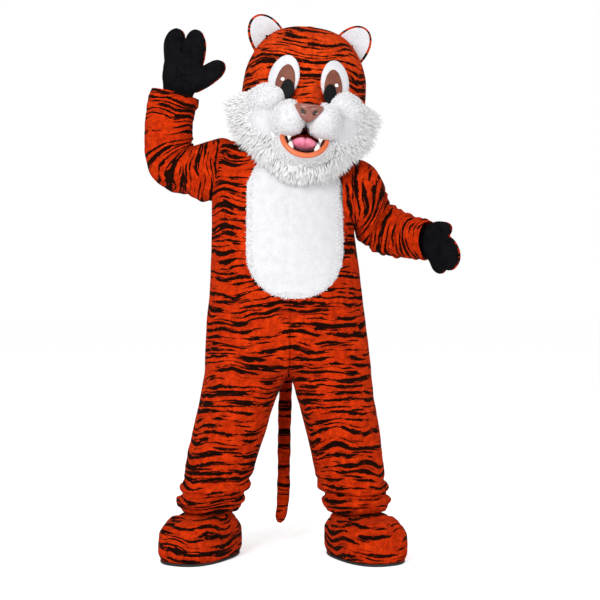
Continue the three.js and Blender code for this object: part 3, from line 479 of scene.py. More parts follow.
def nap_group():
    """Plush pile: soft clumps a few millimetres wide with fine fibre over them, and a tone for their painted
    light and shade.
    """
    tree, start, end = new_group("plush_nap", [
        ("Vector", "NodeSocketVector", None), ("Clump Scale", "NodeSocketFloat", 240.0)],
        [("Height", "NodeSocketFloat"), ("Tone", "NodeSocketFloat")])
    vector = start.outputs["Vector"]
    scale = start.outputs["Clump Scale"]
    clumps = noise(tree, vector, scale, 3.0, 0.65).outputs[0]
    fibre = noise(tree, vector, maths(tree, "MULTIPLY", scale, 3.6), 2.0, 0.6).outputs[0]
    broad = noise(tree, vector, maths(tree, "MULTIPLY", scale, 0.22), 2.0).outputs[0]
    height = maths(tree, "MULTIPLY_ADD", fibre, 0.35, maths(tree, "MULTIPLY_ADD", broad, 0.5, clumps))
    tree.links.new(height, end.inputs["Height"])
    # tone of the clumps and broad patches from shaded to lit: painted light and shade of the pile
    tone = maths(tree, "MULTIPLY_ADD", clumps, 0.6, maths(tree, "MULTIPLY", broad, 0.5))
    tree.links.new(ramp(tree, tone, 0.32, 0.75), end.inputs["Tone"])
    return tree


STRIPES = striped_print_group()
NAP = nap_group()


def new_material(name):
    material = bpy.data.materials.new(name)
    material.use_nodes = True
    tree = material.node_tree
    tree.nodes.clear()
    shader = tree.nodes.new("ShaderNodeBsdfPrincipled")
    out = tree.nodes.new("ShaderNodeOutputMaterial")
    tree.links.new(shader.outputs[0], out.inputs["Surface"])
    return material, tree, shader


def rest_place(tree, attribute=None):
    if attribute:
        return add_node(tree, "ShaderNodeAttribute", attribute_name=attribute).outputs["Vector"]
    return add_node(tree, "ShaderNodeTexCoord").outputs["Object"]


def use_group(tree, group, inputs):
    node = add_node(tree, "ShaderNodeGroup", node_tree=group)
    for name, value in inputs.items():
        if isinstance(value, bpy.types.NodeSocket):
            tree.links.new(value, node.inputs[name])
        else:
            node.inputs[name].default_value = value
    return node


def bump(tree, shader, height, strength, distance):
    node = add_node(tree, "ShaderNodeBump",
                    {"Height": height, "Strength": strength, "Distance": distance})
    tree.links.new(node.outputs[0], shader.inputs["Normal"])


def set_pile(shader, sheen, tint, rough=0.92, shine=0.15):
    shader.inputs["Roughness"].default_value = rough
    shader.inputs["Specular IOR Level"].default_value = shine
    shader.inputs["Sheen Weight"].default_value = sheen
    shader.inputs["Sheen Roughness"].default_value = 0.45
    shader.inputs["Sheen Tint"].default_value = tint


def striped_plush(name, row_height=0.027, ground=(0.58, 0.036, 0.0025, 1), deep=(0.44, 0.021, 0.0015, 1)):
    material, tree, shader = new_material(name)
    place_on_cloth = rest_place(tree, "cloth_place")
    stripes = use_group(tree, STRIPES, {"Vector": place_on_cloth, "Row Height": row_height,
                                        "Ground": ground, "Deep": deep})
    nap = use_group(tree, NAP, {"Vector": rest_place(tree), "Clump Scale": 210.0})
    # painted light and shade: the pile's clumps darken and brighten the printed colour
    clump_light_and_shade = ramp(tree, nap.outputs["Tone"], 0.15, 0.95, 0.66, 1.16)
    shaded = add_node(tree, "ShaderNodeVectorMath", {0: stripes.outputs["Color"], "Scale": clump_light_and_shade},
                      operation="SCALE")
    tree.links.new(shaded.outputs[0], shader.inputs["Base Color"])
    bump(tree, shader, nap.outputs["Height"], 0.8, 0.0035)
    set_pile(shader, 0.03, (1.0, 0.25, 0.06, 1), 0.92, 0.03)
    return material


def plain_plush(name, light, shade, clump_scale, strength, distance, sheen=0.1, tint=(1, 1, 1, 1), shine=0.1):
    material, tree, shader = new_material(name)
    nap = use_group(tree, NAP, {"Vector": rest_place(tree), "Clump Scale": clump_scale})
    tree.links.new(mixed(tree, nap.outputs["Tone"], shade, light), shader.inputs["Base Color"])
    bump(tree, shader, nap.outputs["Height"], strength, distance)
    set_pile(shader, sheen, tint, 0.92, shine)
    return material


def moulded(name, light, shade, rough, coat, mottle=34.0, hollow_shade_mask=None,
            dark=(0.01, 0.006, 0.005, 1), shine=0.5):
    """Painted or moulded smooth parts: slight mottling, a coat, and painted shade that darkens the hollows
    where noted.
    """
    material, tree, shader = new_material(name)
    vector = rest_place(tree)
    patches = ramp(tree, noise(tree, vector, mottle, 3.0).outputs[0], 0.35, 0.7)
    colour = mixed(tree, patches, shade, light)
    if hollow_shade_mask:
        # painted shade: the noted hollows are mixed towards the dark colour
        mask = add_node(tree, "ShaderNodeAttribute", attribute_name=hollow_shade_mask).outputs["Fac"]
        colour = mixed(tree, mask, colour, dark)
    tree.links.new(colour, shader.inputs["Base Color"])
    shader.inputs["Roughness"].default_value = rough
    shader.inputs["Specular IOR Level"].default_value = shine
    shader.inputs["Coat Weight"].default_value = coat
    shader.inputs["Coat Roughness"].default_value = 0.12
    fine = noise(tree, vector, 900.0, 2.0).outputs[0]
    bump(tree, shader, fine, 0.12, 0.0004)
    return material


def brass(name):
    material, tree, shader = new_material(name)
    vector = rest_place(tree)
    wear = ramp(tree, noise(tree, vector, 420.0, 3.0).outputs[0], 0.42, 0.66)
    tree.links.new(mixed(tree, wear, (0.24, 0.14, 0.05, 1), (0.62, 0.43, 0.19, 1)),
                   shader.inputs["Base Color"])
    tree.links.new(ramp(tree, wear, 0.0, 1.0, 0.55, 0.28), shader.inputs["Roughness"])
    shader.inputs["Metallic"].default_value = 1.0
    bump(tree, shader, noise(tree, vector, 2400.0, 2.0).outputs[0], 0.2, 0.0002)
    return material


def woven_tape(name):
    material, tree, shader = new_material(name)
    vector = rest_place(tree)
    ribs = add_node(tree, "ShaderNodeTexWave", {"Vector": vector, "Scale": 260.0, "Distortion": 1.5},
                    bands_direction="Z").outputs["Fac"]
    tree.links.new(mixed(tree, ribs, (0.03, 0.008, 0.004, 1), (0.09, 0.03, 0.014, 1)),
                   shader.inputs["Base Color"])
    bump(tree, shader, ribs, 0.5, 0.0006)
    set_pile(shader, 0.1, (1, 0.8, 0.7, 1), 0.85)
    return material


def fur_fibre(name, light, shade):
    """Long fibres: shaded along their length by a value noted on the strands."""
    material, tree, shader = new_material(name)
    along = add_node(tree, "ShaderNodeAttribute", attribute_name="along").outputs["Fac"]
    clump = noise(tree, rest_place(tree), 60.0, 2.0).outputs[0]
    tone = maths(tree, "MULTIPLY_ADD", clump, 0.5, maths(tree, "MULTIPLY", along, 0.75), clamp=True)
    tree.links.new(mixed(tree, tone, shade, light), shader.inputs["Base Color"])
    set_pile(shader, 0.5, (1, 1, 1, 1), 0.8)
    return material


TIGER = striped_plush("tiger_plush")
TIGER_HEAD = striped_plush("tiger_plush_head", 0.024, (0.66, 0.058, 0.006, 1), (0.52, 0.034, 0.003, 1))
WHITE = plain_plush("white_plush", (0.64, 0.64, 0.66, 1), (0.55, 0.55, 0.575, 1), 170.0, 0.6, 0.0035)
RUFF_BASE = plain_plush("fur_backing", (0.94, 0.94, 0.945, 1), (0.84, 0.84, 0.86, 1), 120.0, 0.5, 0.004)
BLACK = plain_plush("black_plush", (0.0065, 0.0065, 0.0075, 1), (0.002, 0.002, 0.0025, 1), 150.0, 0.9, 0.004,
                    0.008, (0.5, 0.5, 0.6, 1), 0.03)
FUR_WHITE = fur_fibre("white_fur", (0.99, 0.99, 0.99, 1), (0.95, 0.95, 0.955, 1))
PILE_WHITE = fur_fibre("white_pile", (0.98, 0.98, 0.98, 1), (0.95, 0.95, 0.955, 1))
IRIS = moulded("iris_brown", (0.20, 0.066, 0.042, 1), (0.15, 0.048, 0.03, 1), 0.55, 0.0, shine=0.15)
PUPIL = moulded("pupil_black", (0.008, 0.008, 0.009, 1), (0.004, 0.004, 0.005, 1), 0.6, 0.0, shine=0.08)
GLINT = moulded("glint_white", (0.95, 0.95, 0.96, 1), (0.9, 0.9, 0.92, 1), 0.3, 0.2)
# the nose's nostril dents get painted shade, mixed towards near black by the noted hollow
NOSE_BROWN = moulded("nose_brown", (0.27, 0.085, 0.058, 1), (0.20, 0.058, 0.040, 1), 0.26, 0.5, 30.0,
                     "hollow")
LIP_ORANGE = moulded("lip_orange", (0.68, 0.15, 0.042, 1), (0.58, 0.11, 0.03, 1), 0.42, 0.25)
MOUTH = plain_plush("mouth_lining", (0.045, 0.006, 0.008, 1), (0.02, 0.003, 0.004, 1), 300.0, 0.4, 0.001,
                    0.05)
# the tongue's middle groove gets painted shade of this darker pink, by the noted hollow
TONGUE = moulded("tongue_pink", (0.80, 0.25, 0.36, 1), (0.70, 0.17, 0.28, 1), 0.40, 0.3, 60.0, "hollow",
                 (0.42, 0.06, 0.11, 1))
TOOTH = moulded("tooth_white", (0.9, 0.89, 0.85, 1), (0.82, 0.80, 0.73, 1), 0.3, 0.3)
RUBBER = moulded("sole_rubber", (0.014, 0.014, 0.014, 1), (0.008, 0.008, 0.008, 1), 0.75, 0.0, 120.0)
BRASS = brass("zip_metal")
TAPE = woven_tape("zip_tape")


def finish_piece(obj, material, slot, *nodes, body=COSTUME):
    """Gives a piece its finish and its body, and hides the CAD nodes that it stands for."""
    obj.data.materials.clear()
    obj.data.materials.append(material)
    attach(obj, body)
    if nodes:
        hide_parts(*nodes)
    return obj


# ------------------------------------------------------------------ jumpsuit
SUIT_HEIGHTS = np.concatenate([np.arange(164, 272, 4.0), np.arange(272, 1330, 7.5),
                               np.linspace(1330, 1462, 42)])
# Creases seen from the front or the back: a line from one x and height to another, how deep the
# trough is, how wide, and the face it is pressed into (1 front, -1 back).
CREASES = [
    (30, 690, 190, 742, 4.5, 17, 1), (-30, 690, -180, 735, 4.5, 17, 1), (14, 668, 120, 640, 4, 15, 1),
    (-14, 668, -130, 645, 4, 15, 1), (60, 720, 235, 800, 3.2, 20, 1), (-70, 722, -240, 790, 3.0, 20, 1),
    (240, 930, 120, 905, 3.0, 22, 1), (-250, 880, -120, 850, 3.2, 22, 1),
    (255, 830, 150, 845, 2.6, 20, 1), (-262, 1010, -180, 1000, 3.0, 18, 1),
    (-258, 1120, -190, 1095, 3.2, 18, 1), (-250, 1220, -185, 1180, 3.4, 16, 1),
    (232, 1175, 196, 1120, 3.4, 14, 1), (240, 1060, 195, 1035, 2.8, 16, 1),
    (-215, 1330, -180, 1230, 3.4, 16, 1), (150, 470, 310, 500, 3.6, 20, 1),
    (120, 545, 300, 580, 3.0, 22, 1), (130, 420, 320, 395, 3.4, 18, 1), (150, 330, 330, 350, 4.2, 17, 1),
    (190, 292, 345, 312, 4.6, 14, 1), (110, 372, 240, 352, 3.2, 16, 1),
    (-120, 500, -320, 470, 3.4, 20, 1), (-100, 570, -290, 600, 3.0, 22, 1),
    (-150, 400, -350, 420, 3.6, 18, 1), (-160, 330, -370, 350, 4.2, 17, 1),
    (-190, 290, -380, 306, 4.8, 14, 1), (-140, 360, -270, 338, 3.2, 16, 1),
    (20, 700, 200, 780, 5, 20, -1), (-25, 700, -200, 770, 5, 20, -1), (40, 660, 180, 620, 4.5, 18, -1),
    (-40, 660, -190, 625, 4.5, 18, -1), (230, 900, 60, 860, 3.6, 24, -1),
    (-240, 930, -70, 880, 3.6, 24, -1), (250, 1060, 100, 1020, 3.4, 22, -1),
    (-250, 1090, -120, 1040, 3.4, 22, -1), (220, 1240, 90, 1150, 4.0, 20, -1),
    (-220, 1300, -90, 1190, 4.4, 20, -1), (-170, 1370, -60, 1300, 3.6, 18, -1),
    (170, 1330, 60, 1280, 3.2, 18, -1), (120, 480, 320, 455, 4.2, 20, -1),
    (140, 560, 300, 590, 3.6, 20, -1), (150, 380, 330, 405, 4.0, 18, -1),
    (180, 310, 340, 296, 4.6, 15, -1), (-120, 460, -330, 490, 4.2, 20, -1),
    (-110, 560, -300, 540, 3.6, 20, -1), (-150, 385, -350, 365, 4.2, 18, -1),
    (-180, 305, -375, 322, 4.6, 15, -1),
]
# Scrunched ankle cloth: height, how far it stands out, how tall it is, waves round the leg, phase.
ANKLE_ROLLS = [(250, 7, 12, 2, 0.4), (226, -9, 8, 3, 1.9), (204, 8, 12, 2, 3.1), (180, -5, 9, 3, 0.8),
               (276, -6, 9, 2, 2.5), (300, 3.5, 14, 1, 1.0)]


def suit_rows(heights):
    return rows_at(SUIT_COLUMNS, SUIT, [row[0] for row in SUIT], heights)


def level_points(rows, side, angles):
    """Points of jumpsuit levels before they are turned: angle 0 is the side seam, plus to the front."""
    word = "left" if side > 0 else "right"
    outer, crotch = rows[word][:, None], rows["crotch_" + word][:, None]
    centre, half = (outer + crotch) / 2, (outer - crotch) / 2
    depth = np.where(angles > 0, rows["front"][:, None], rows["back"][:, None])
    x = side * (centre + half * np.cos(angles))
    y = -depth * np.sin(angles)
    z = rows["height"][:, None] + rows["lift_" + word][:, None] * np.cos(angles) ** 2
    return np.stack([x, y, z], -1)


def seam_angles(rows, side):
    word = "left" if side > 0 else "right"
    outer, crotch = rows[word], rows["crotch_" + word]
    return np.arccos(np.clip(-(outer + crotch) / (outer - crotch), -1, 1))


def crease_depth(points, face):
    """How far the cloth is pushed in by every crease of a face: a trough between two soft banks."""
    total = np.zeros(points.shape[:-1])
    x, z = points[..., 0], points[..., 2]
    for x0, z0, x1, z1, depth, width, side in CREASES:
        if side != face:
            continue
        along = np.array([x1 - x0, z1 - z0], float)
        length = np.linalg.norm(along)
        along /= length
        part = np.clip(((x - x0) * along[0] + (z - z0) * along[1]) / length, -0.25, 1.25)
        bow = 0.10 * length * np.sin(np.clip(part, 0, 1) * math.pi)
        off = (x - x0) * -along[1] + (z - z0) * along[0] - bow
        taper = np.exp(-((np.clip(np.abs(part - 0.5) - 0.3, 0, None) / 0.22) ** 2))
        profile = np.exp(-((off / width) ** 2)) - 0.55 * np.exp(-(((np.abs(off) - 1.7 * width) / width) ** 2))
        total += depth * profile * taper
    return total


def ankle_swell(points, x_centre):
    angle = np.arctan2(points[..., 1], points[..., 0] - x_centre)
    total = np.zeros(points.shape[:-1])
    for height, depth, tall, waves, phase in ANKLE_ROLLS:
        wobble = 9 * np.sin(waves * angle + phase) + 4 * np.sin(5 * angle + 2 * phase)
        strength = 0.75 + 0.35 * np.sin((waves + 2) * angle + 3 * phase)
        total += depth * strength * near(points[..., 2], height + wobble, tall)
    return total


def suit_panel(side, face, columns=56):
    """One front or back panel: its cut surface, and the same surface with its folds."""
    rows = suit_rows(SUIT_HEIGHTS)
    reach = seam_angles(rows, side)
    angles = face * reach[:, None] * np.linspace(0, 1, columns)[None, :]
    if side * face > 0:
        angles = angles[:, ::-1]
    flat = level_points(rows, side, angles)
    normal = sheet_normals(flat, False)
    if np.mean(normal[..., 1] * -face) < 0:
        normal = -normal
    word = "left" if side > 0 else "right"
    leg_centre = side * (rows[word] + rows["crotch_" + word])[:, None] / 2
    at_seam = np.minimum(np.abs(angles), np.abs(reach[:, None] - np.abs(angles)))
    half_width = (rows[word] - rows["crotch_" + word])[:, None] / 2
    from_seam = at_seam * half_width
    height = rows["height"][:, None]
    swell = -crease_depth(flat, face) + ankle_swell(flat, leg_centre)
    swell += 1.3 * lumps(flat, 260, 3 + face + 2 * side) + 0.7 * lumps(flat, 90, 11 + face + 2 * side)
    swell -= 2.4 * np.exp(-((from_seam / 5.0) ** 2))
    folded = flat + normal * swell[..., None]
    gap = np.where((height > ZIP_SLOT["bottom"]) & (height < ZIP_SLOT["top"]) & (face < 0),
                   ZIP_SLOT["half"], 0.2)

    def kept(points):
        held = points.copy()
        held[..., 0] = side * np.maximum(side * points[..., 0], gap)
        held[..., 1] = -face * np.maximum(-face * points[..., 1], 0.2)
        return turned(held, rows["turn"][:, None], rows["shift"][:, None])

    return kept(flat), kept(folded), kept(folded - normal * PLUSH)


def arc_lengths(sheet, axis):
    return np.linalg.norm(np.diff(sheet, axis=axis), axis=-1).sum(axis=axis)


def sheet_area(sheet, closed):
    across = (np.roll(sheet, -1, 1) - sheet) if closed else np.diff(sheet, axis=1)
    up = np.diff(sheet, axis=0)
    across = across[:-1] if closed else across[:-1, :]
    up = up if closed else up[:, :-1]
    return float(np.linalg.norm(np.cross(across, up), axis=-1).sum())


def trunk_form():
    """The closed form of the trunk above the crotch, to cut the sleeves and the tail with and to draw the
    sleeve edges to.
    """
    heights = np.concatenate([np.arange(692, 1330, 12.0), np.linspace(1330, 1462, 30)])
    rows = suit_rows(heights)
    parts = []
    for side, face in ((1, 1), (1, -1), (-1, -1), (-1, 1)):
        reach = seam_angles(rows, side)
        share = np.linspace(0, 1, 24, endpoint=False)
        share = 1 - share if side * face > 0 else share
        parts.append(level_points(rows, side, face * reach[:, None] * share[None, :]))
    ring = np.concatenate(parts, 1)
    return closed_tube("trunk_form", place(turned(ring, rows["turn"][:, None], rows["shift"][:, None])))


def lip_edges(sheet_tree, points, depth, width):
    """Draws points in towards a seam: how far each is pulled, from its distance to that surface."""
    pull = np.zeros(len(points))
    for i, p in enumerate(points):
        hit = sheet_tree.find_nearest(Vector(p), width * 3 * MM)
        if hit[0] is not None:
            pull[i] = depth * math.exp(-((hit[3] / (width * MM)) ** 2))
    return pull


def make_suit(sleeve_forms):
    """The four panels, each with the armhole left open where the sleeve is set in."""
    for side, word in SIDES:
        for face, name in ((1, "front"), (-1, "back")):
            flat, outer, inner = suit_panel(side, face)
            label = f"{name}_{word}"
            points, faces = wall_mesh(place(outer), place(inner), False)
            inside = inside_form(points, sleeve_forms[word], 0.005)
            faces = [f for f in faces if not all(inside[i] for i in f)]
            skin_points = outer.shape[0] * outer.shape[1]
            faces = closed_rim(faces, skin_points)
            panel = new_object(f"suit_{label}", points, faces)
            rest, _ = wall_mesh(place(flat), place(flat), False)
            drop_loose(panel, rest)
            finish_piece(panel, TIGER, "tiger_plush", label)
            width = float(arc_lengths(flat, 1).max()) * MM
            length = float(arc_lengths(flat, 0).max()) * MM
            share = 1 - inside[:skin_points].mean()
            round(sheet_area(flat, False) * MM * MM * max(share, 0.9), 4)


def inside_form(points, form, depth):
    """Which points are inside a closed form by more than a depth."""
    tree = tree_of(form)
    answer = np.zeros(len(points), bool)
    low, high = points_of(form).min(0), points_of(form).max(0)
    for i in np.nonzero(((points > low) & (points < high)).all(1))[0]:
        hit, normal, _, distance = tree.find_nearest(Vector(points[i]))
        answer[i] = distance > depth and (Vector(points[i]) - hit).dot(normal) < 0
    return answer


def closed_rim(faces, inner_start):
    """Adds the rim round a hole that was cut through both skins of a wall."""
    outer = [f for f in faces if max(f) < inner_start]
    inner = {tuple(sorted(i - inner_start for i in f)) for f in faces if min(f) >= inner_start}
    outer_set = {tuple(sorted(f)) for f in outer}
    both = outer_set & inner
    keep = [f for f in faces if not (max(f) < inner_start and tuple(sorted(f)) not in both)
            and not (min(f) >= inner_start and tuple(sorted(i - inner_start for i in f)) not in both)]
    edges = {}
    for f in keep:
        for a, b in zip(f, (*f[1:], f[0])):
            key = (min(a, b), max(a, b))
            edges.setdefault(key, []).append((a, b))
    rim = []
    for key, uses in edges.items():
        if len(uses) == 1 and key[1] < inner_start:
            a, b = uses[0]
            rim.append((b, a, a + inner_start, b + inner_start))
    return keep + rim


def drop_loose(obj, rest):
    """Notes the cut's own place on every point, then removes points that no face uses."""
    if rest is not None:
        note(obj, "cloth_place", rest)
    mesh = bmesh.new()
    mesh.from_mesh(obj.data)
    loose = [v for v in mesh.verts if not v.link_faces]
    bmesh.ops.delete(mesh, geom=loose, context="VERTS")
    mesh.to_mesh(obj.data)
    mesh.free()


# ------------------------------------------------------------------ sleeves
# Bunched rings: how far down the sleeve from 0 to 1, how far it stands out, its width along the
# sleeve, slant and wobble round the arm, and where round the arm it is strongest (0 is the top).
FOLDS_RIGHT = [
    (0.30, -6, 0.018, 0.10, 3.1, 0), (0.36, 5, 0.020, 0.12, 3.1, 0), (0.41, -7, 0.016, 0.06, 3.1, 0),
    (0.46, 6, 0.020, 0.02, 3.1, 0), (0.505, -9, 0.016, -0.02, 0.2, 0), (0.55, 6, 0.018, -0.06, 0.3, 0),
    (0.60, -6, 0.016, -0.10, 0.2, 0), (0.66, 4.5, 0.022, -0.08, 0.5, 0), (0.71, -4, 0.016, 0.04, 2.0, 0),
    (0.78, -3.5, 0.016, 0.05, 4.2, 1), (0.84, 3, 0.020, -0.04, 1.2, 0), (0.89, -3.5, 0.014, 0.03, 2.9, 1),
    (0.94, 3, 0.016, 0.0, 0.4, 1), (0.24, 4, 0.024, 0.12, 2.7, 0),
]
FOLDS_LEFT = [
    (0.26, -4, 0.022, -0.10, 3.0, 0), (0.34, 4, 0.022, -0.08, 3.0, 0), (0.41, -6, 0.016, -0.05, 0.4, 0),
    (0.455, 6, 0.018, -0.04, 0.3, 0), (0.50, -7, 0.013, 0.05, 1.2, 1), (0.545, 6.5, 0.016, 0.04, 1.0, 1),
    (0.59, -7, 0.013, -0.03, 3.6, 1), (0.635, 6.5, 0.015, 0.05, 2.0, 1), (0.675, -6.5, 0.012, -0.04, 5.0, 1),
    (0.72, 6.5, 0.015, 0.03, 0.6, 1), (0.76, -6.5, 0.012, 0.04, 2.6, 1), (0.80, 6, 0.014, -0.03, 4.0, 1),
    (0.84, -6, 0.011, 0.02, 1.0, 1), (0.88, 5.5, 0.013, 0.03, 3.0, 1), (0.92, -5, 0.010, -0.02, 5.2, 1),
    (0.96, 4.5, 0.012, 0.0, 2.0, 1),
]


def sleeve_grid(rows, count, sides=88):
    """Fine rings along a sleeve, how far along each is, and the angle round the arm."""
    table = np.asarray(rows, float)
    middle = np.stack([(table[:, 0] + table[:, 2]) / 2, table[:, 4], (table[:, 1] + table[:, 3]) / 2], -1)
    along = np.concatenate([[0], np.cumsum(np.linalg.norm(np.diff(middle, axis=0), axis=1))])
    at = np.linspace(0, along[-1], count)
    fine = rows_at(SLEEVE_COLUMNS, rows, along, at)
    centre = np.stack([(fine["top_x"] + fine["under_x"]) / 2, fine["y"],
                       (fine["top_z"] + fine["under_z"]) / 2], -1)
    up = np.stack([(fine["top_x"] - fine["under_x"]) / 2, np.zeros(count),
                   (fine["top_z"] - fine["under_z"]) / 2], -1)
    turn = np.radians(fine["turn"])
    across = np.stack([np.sin(turn), np.cos(turn), np.zeros(count)], -1) * fine["half_depth"][:, None]
    angle = 2 * math.pi * np.arange(sides) / sides
    ring = (centre[:, None] + up[:, None] * np.cos(angle)[None, :, None]
            + across[:, None] * np.sin(angle)[None, :, None])
    return ring, at, angle, centre


def sleeve_folds(at, angle, folds, seed):
    share = (at / at[-1])[:, None]
    theta = angle[None, :]
    total = np.zeros((len(at), len(angle)))
    for where, height, width, slant, phase, all_round in folds:
        wobble = slant * np.cos(theta) * 0.5 + 0.010 * np.sin(2 * theta + phase * 2) \
            + 0.006 * np.sin(3 * theta + phase + seed)
        strength = 0.62 + 0.38 * np.sin(theta * 2 + phase) if all_round \
            else np.exp(-((np.angle(np.exp(1j * (theta - phase))) / 1.35) ** 2))
        total += height * strength * near(share, where + wobble, width)
    return total


def make_sleeves(trunk):
    forms = {}
    trunk_tree = tree_of(trunk)
    for side, word, rows, folds, count in ((1, "left", SLEEVE_LEFT, FOLDS_LEFT, 132),
                                           (-1, "right", SLEEVE_RIGHT, FOLDS_RIGHT, 146)):
        ring, at, angle, centre = sleeve_grid(rows, count)
        normal = sheet_normals(ring, True)
        if np.mean(np.sum(normal * (ring - centre[:, None]), -1)) < 0:
            normal = -normal
        swell = sleeve_folds(at, angle, folds, side) + 1.5 * lumps(ring, 170, 21 + side)
        swell += 0.8 * lumps(ring, 60, 31 + side)
        swell *= np.clip((at[:, None] - 60) / 60, 0, 1)
        swell -= 2.2 * near(at[:, None], at[-1], 7) + 1.0
        cloth = ring + normal * swell[..., None]
        pull = lip_edges(trunk_tree, place(cloth).reshape(-1, 3), 3.6, 6.0).reshape(cloth.shape[:2])
        cloth = cloth - normal * pull[..., None]
        inner = cloth - normal * PLUSH
        points, faces = wall_mesh(place(cloth), place(inner), True)
        cut = inside_form(points, trunk, 0.006)
        faces = [tuple(f) for f in faces if not all(cut[i] for i in f)]
        faces = closed_rim(faces, cloth.shape[0] * cloth.shape[1])
        sleeve = new_object(f"suit_sleeve_{word}", points, faces)
        radius = 0.5 * (arc_lengths(ring, 1) / math.pi)
        on_cloth = np.stack([radius[:, None] * np.cos(angle)[None, :],
                             radius[:, None] * np.sin(angle)[None, :],
                             np.broadcast_to(at[:, None], ring.shape[:2])], -1) * MM
        on_cloth[..., 2] += side * 0.37
        rest, _ = wall_mesh(on_cloth, on_cloth, True)
        drop_loose(sleeve, rest)
        finish_piece(sleeve, TIGER, "tiger_plush", f"sleeve_{word}")
        shown = ~cut[: ring.shape[0] * ring.shape[1]].reshape(ring.shape[:2])
        first = int(np.argmax(shown.any(1)))
        width = float(arc_lengths(ring[first:], 1).max() + 8) * MM
        length = float(at[-1] - at[first]) * MM
        share = shown[first:].mean()
        round(min(sheet_area(ring[first:], True) * MM * MM * share, width * length), 4)
        lid = [tuple(range(ring.shape[1]))[::-1],
               tuple(range((count - 1) * ring.shape[1], count * ring.shape[1]))]
        form = new_object(f"arm_form_{word}", place(ring - normal * 2.0).reshape(-1, 3),
                          [tuple(f) for f in grid_faces(count, ring.shape[1], True)] + lid)
        forms[word] = form
    return forms


# ------------------------------------------------------------------ belly and zip
def belly_outline(v):
    """Half width of the belly patch at a height, its oval bottom and straight sides."""
    low, straight, top = BELLY["bottom"], BELLY["straight"], BELLY["top"]
    depth = straight - low
    if v < straight:
        return BELLY["half_width"] * max(1 - ((straight - v) / depth) ** 2, 0) ** 0.43
    share = (v - straight) / (top - straight)
    return BELLY["half_width"] - 4 * share - 46 * max(share - 0.72, 0) / 0.28


def front_hit(panels_tree, x, z):
    """The jumpsuit's front at a place, bridged across the dip of the centre seam."""
    hits = []
    for step in (-16, 16) if abs(x) < 22 else (0,):
        start = Vector(place((x + step, -900, z)))
        hit, normal, _, _ = panels_tree.ray_cast(start, Vector((0, 1, 0)))
        if hit is None:
            hit, normal, _, _ = panels_tree.find_nearest(start)
        hits.append((hit, normal))
    middle = sum((hit for hit, _ in hits), Vector()) / len(hits)
    return middle, sum((normal for _, normal in hits), Vector()).normalized()


def make_belly(panels_tree):
    """The white front patch, laid on the fronts and puffed a little between its sewn edges."""
    rows, columns = 84, 60
    low, top = BELLY["bottom"], BELLY["top"]
    share = np.linspace(0.0015, 1, rows)
    heights = low + (top - low) * share ** 1.25
    u = np.sin(np.linspace(-1, 1, columns) * math.pi / 2)
    outer = np.zeros((rows, columns, 3))
    inner = np.zeros_like(outer)
    flat = np.zeros_like(outer)
    for i, height in enumerate(heights):
        half = belly_outline(height)
        for j, across in enumerate(u):
            x = BELLY["centre"] + half * across
            hit, normal = front_hit(panels_tree, x, height)
            to_edge = min((1 - abs(across)) * max(half, 1), height - low + 6 * (1 - abs(across)))
            rise = 2.2 + 5.2 * (1 - math.exp(-to_edge / 10.0))
            rise += 0.9 * math.sin(x / 41.0 + height / 57.0) * (1 - math.exp(-to_edge / 25.0))
            outer[i, j] = hit + normal * rise * MM
            inner[i, j] = hit + normal * 0.35 * MM
            flat[i, j] = hit + normal * 1.0 * MM
    points, faces = wall_mesh(outer, inner, False)
    belly = new_object("belly_patch", points, faces)
    merged(belly, 0.0002)
    finish_piece(belly, WHITE, "white_plush", "belly")
    width = float(arc_lengths(flat, 1).max())
    length = float(arc_lengths(flat, 0).max())
    round(sheet_area(flat, False), 4)
    return belly


def back_line(heights, offset):
    """Points up the centre back, and the outward direction there, in millimetres."""
    rows = suit_rows(heights)
    base = np.stack([np.zeros(len(heights)), rows["back"] + offset, rows["height"]], -1)
    out = np.stack([np.zeros(len(heights)), np.ones(len(heights)), np.zeros(len(heights))], -1)
    return turned(base, rows["turn"], rows["shift"]), turned(out, rows["turn"])


def new_geometry_group(name, *inputs):
    """A Geometry Nodes tree with named inputs and one geometry output, and its two end nodes."""
    tree = bpy.data.node_groups.new(name, "GeometryNodeTree")
    for label, kind in inputs:
        tree.interface.new_socket(label, in_out="INPUT", socket_type="NodeSocket" + kind)
    tree.interface.new_socket("Geometry", in_out="OUTPUT", socket_type="NodeSocketGeometry")
    return tree, tree.nodes.new("NodeGroupInput"), tree.nodes.new("NodeGroupOutput")


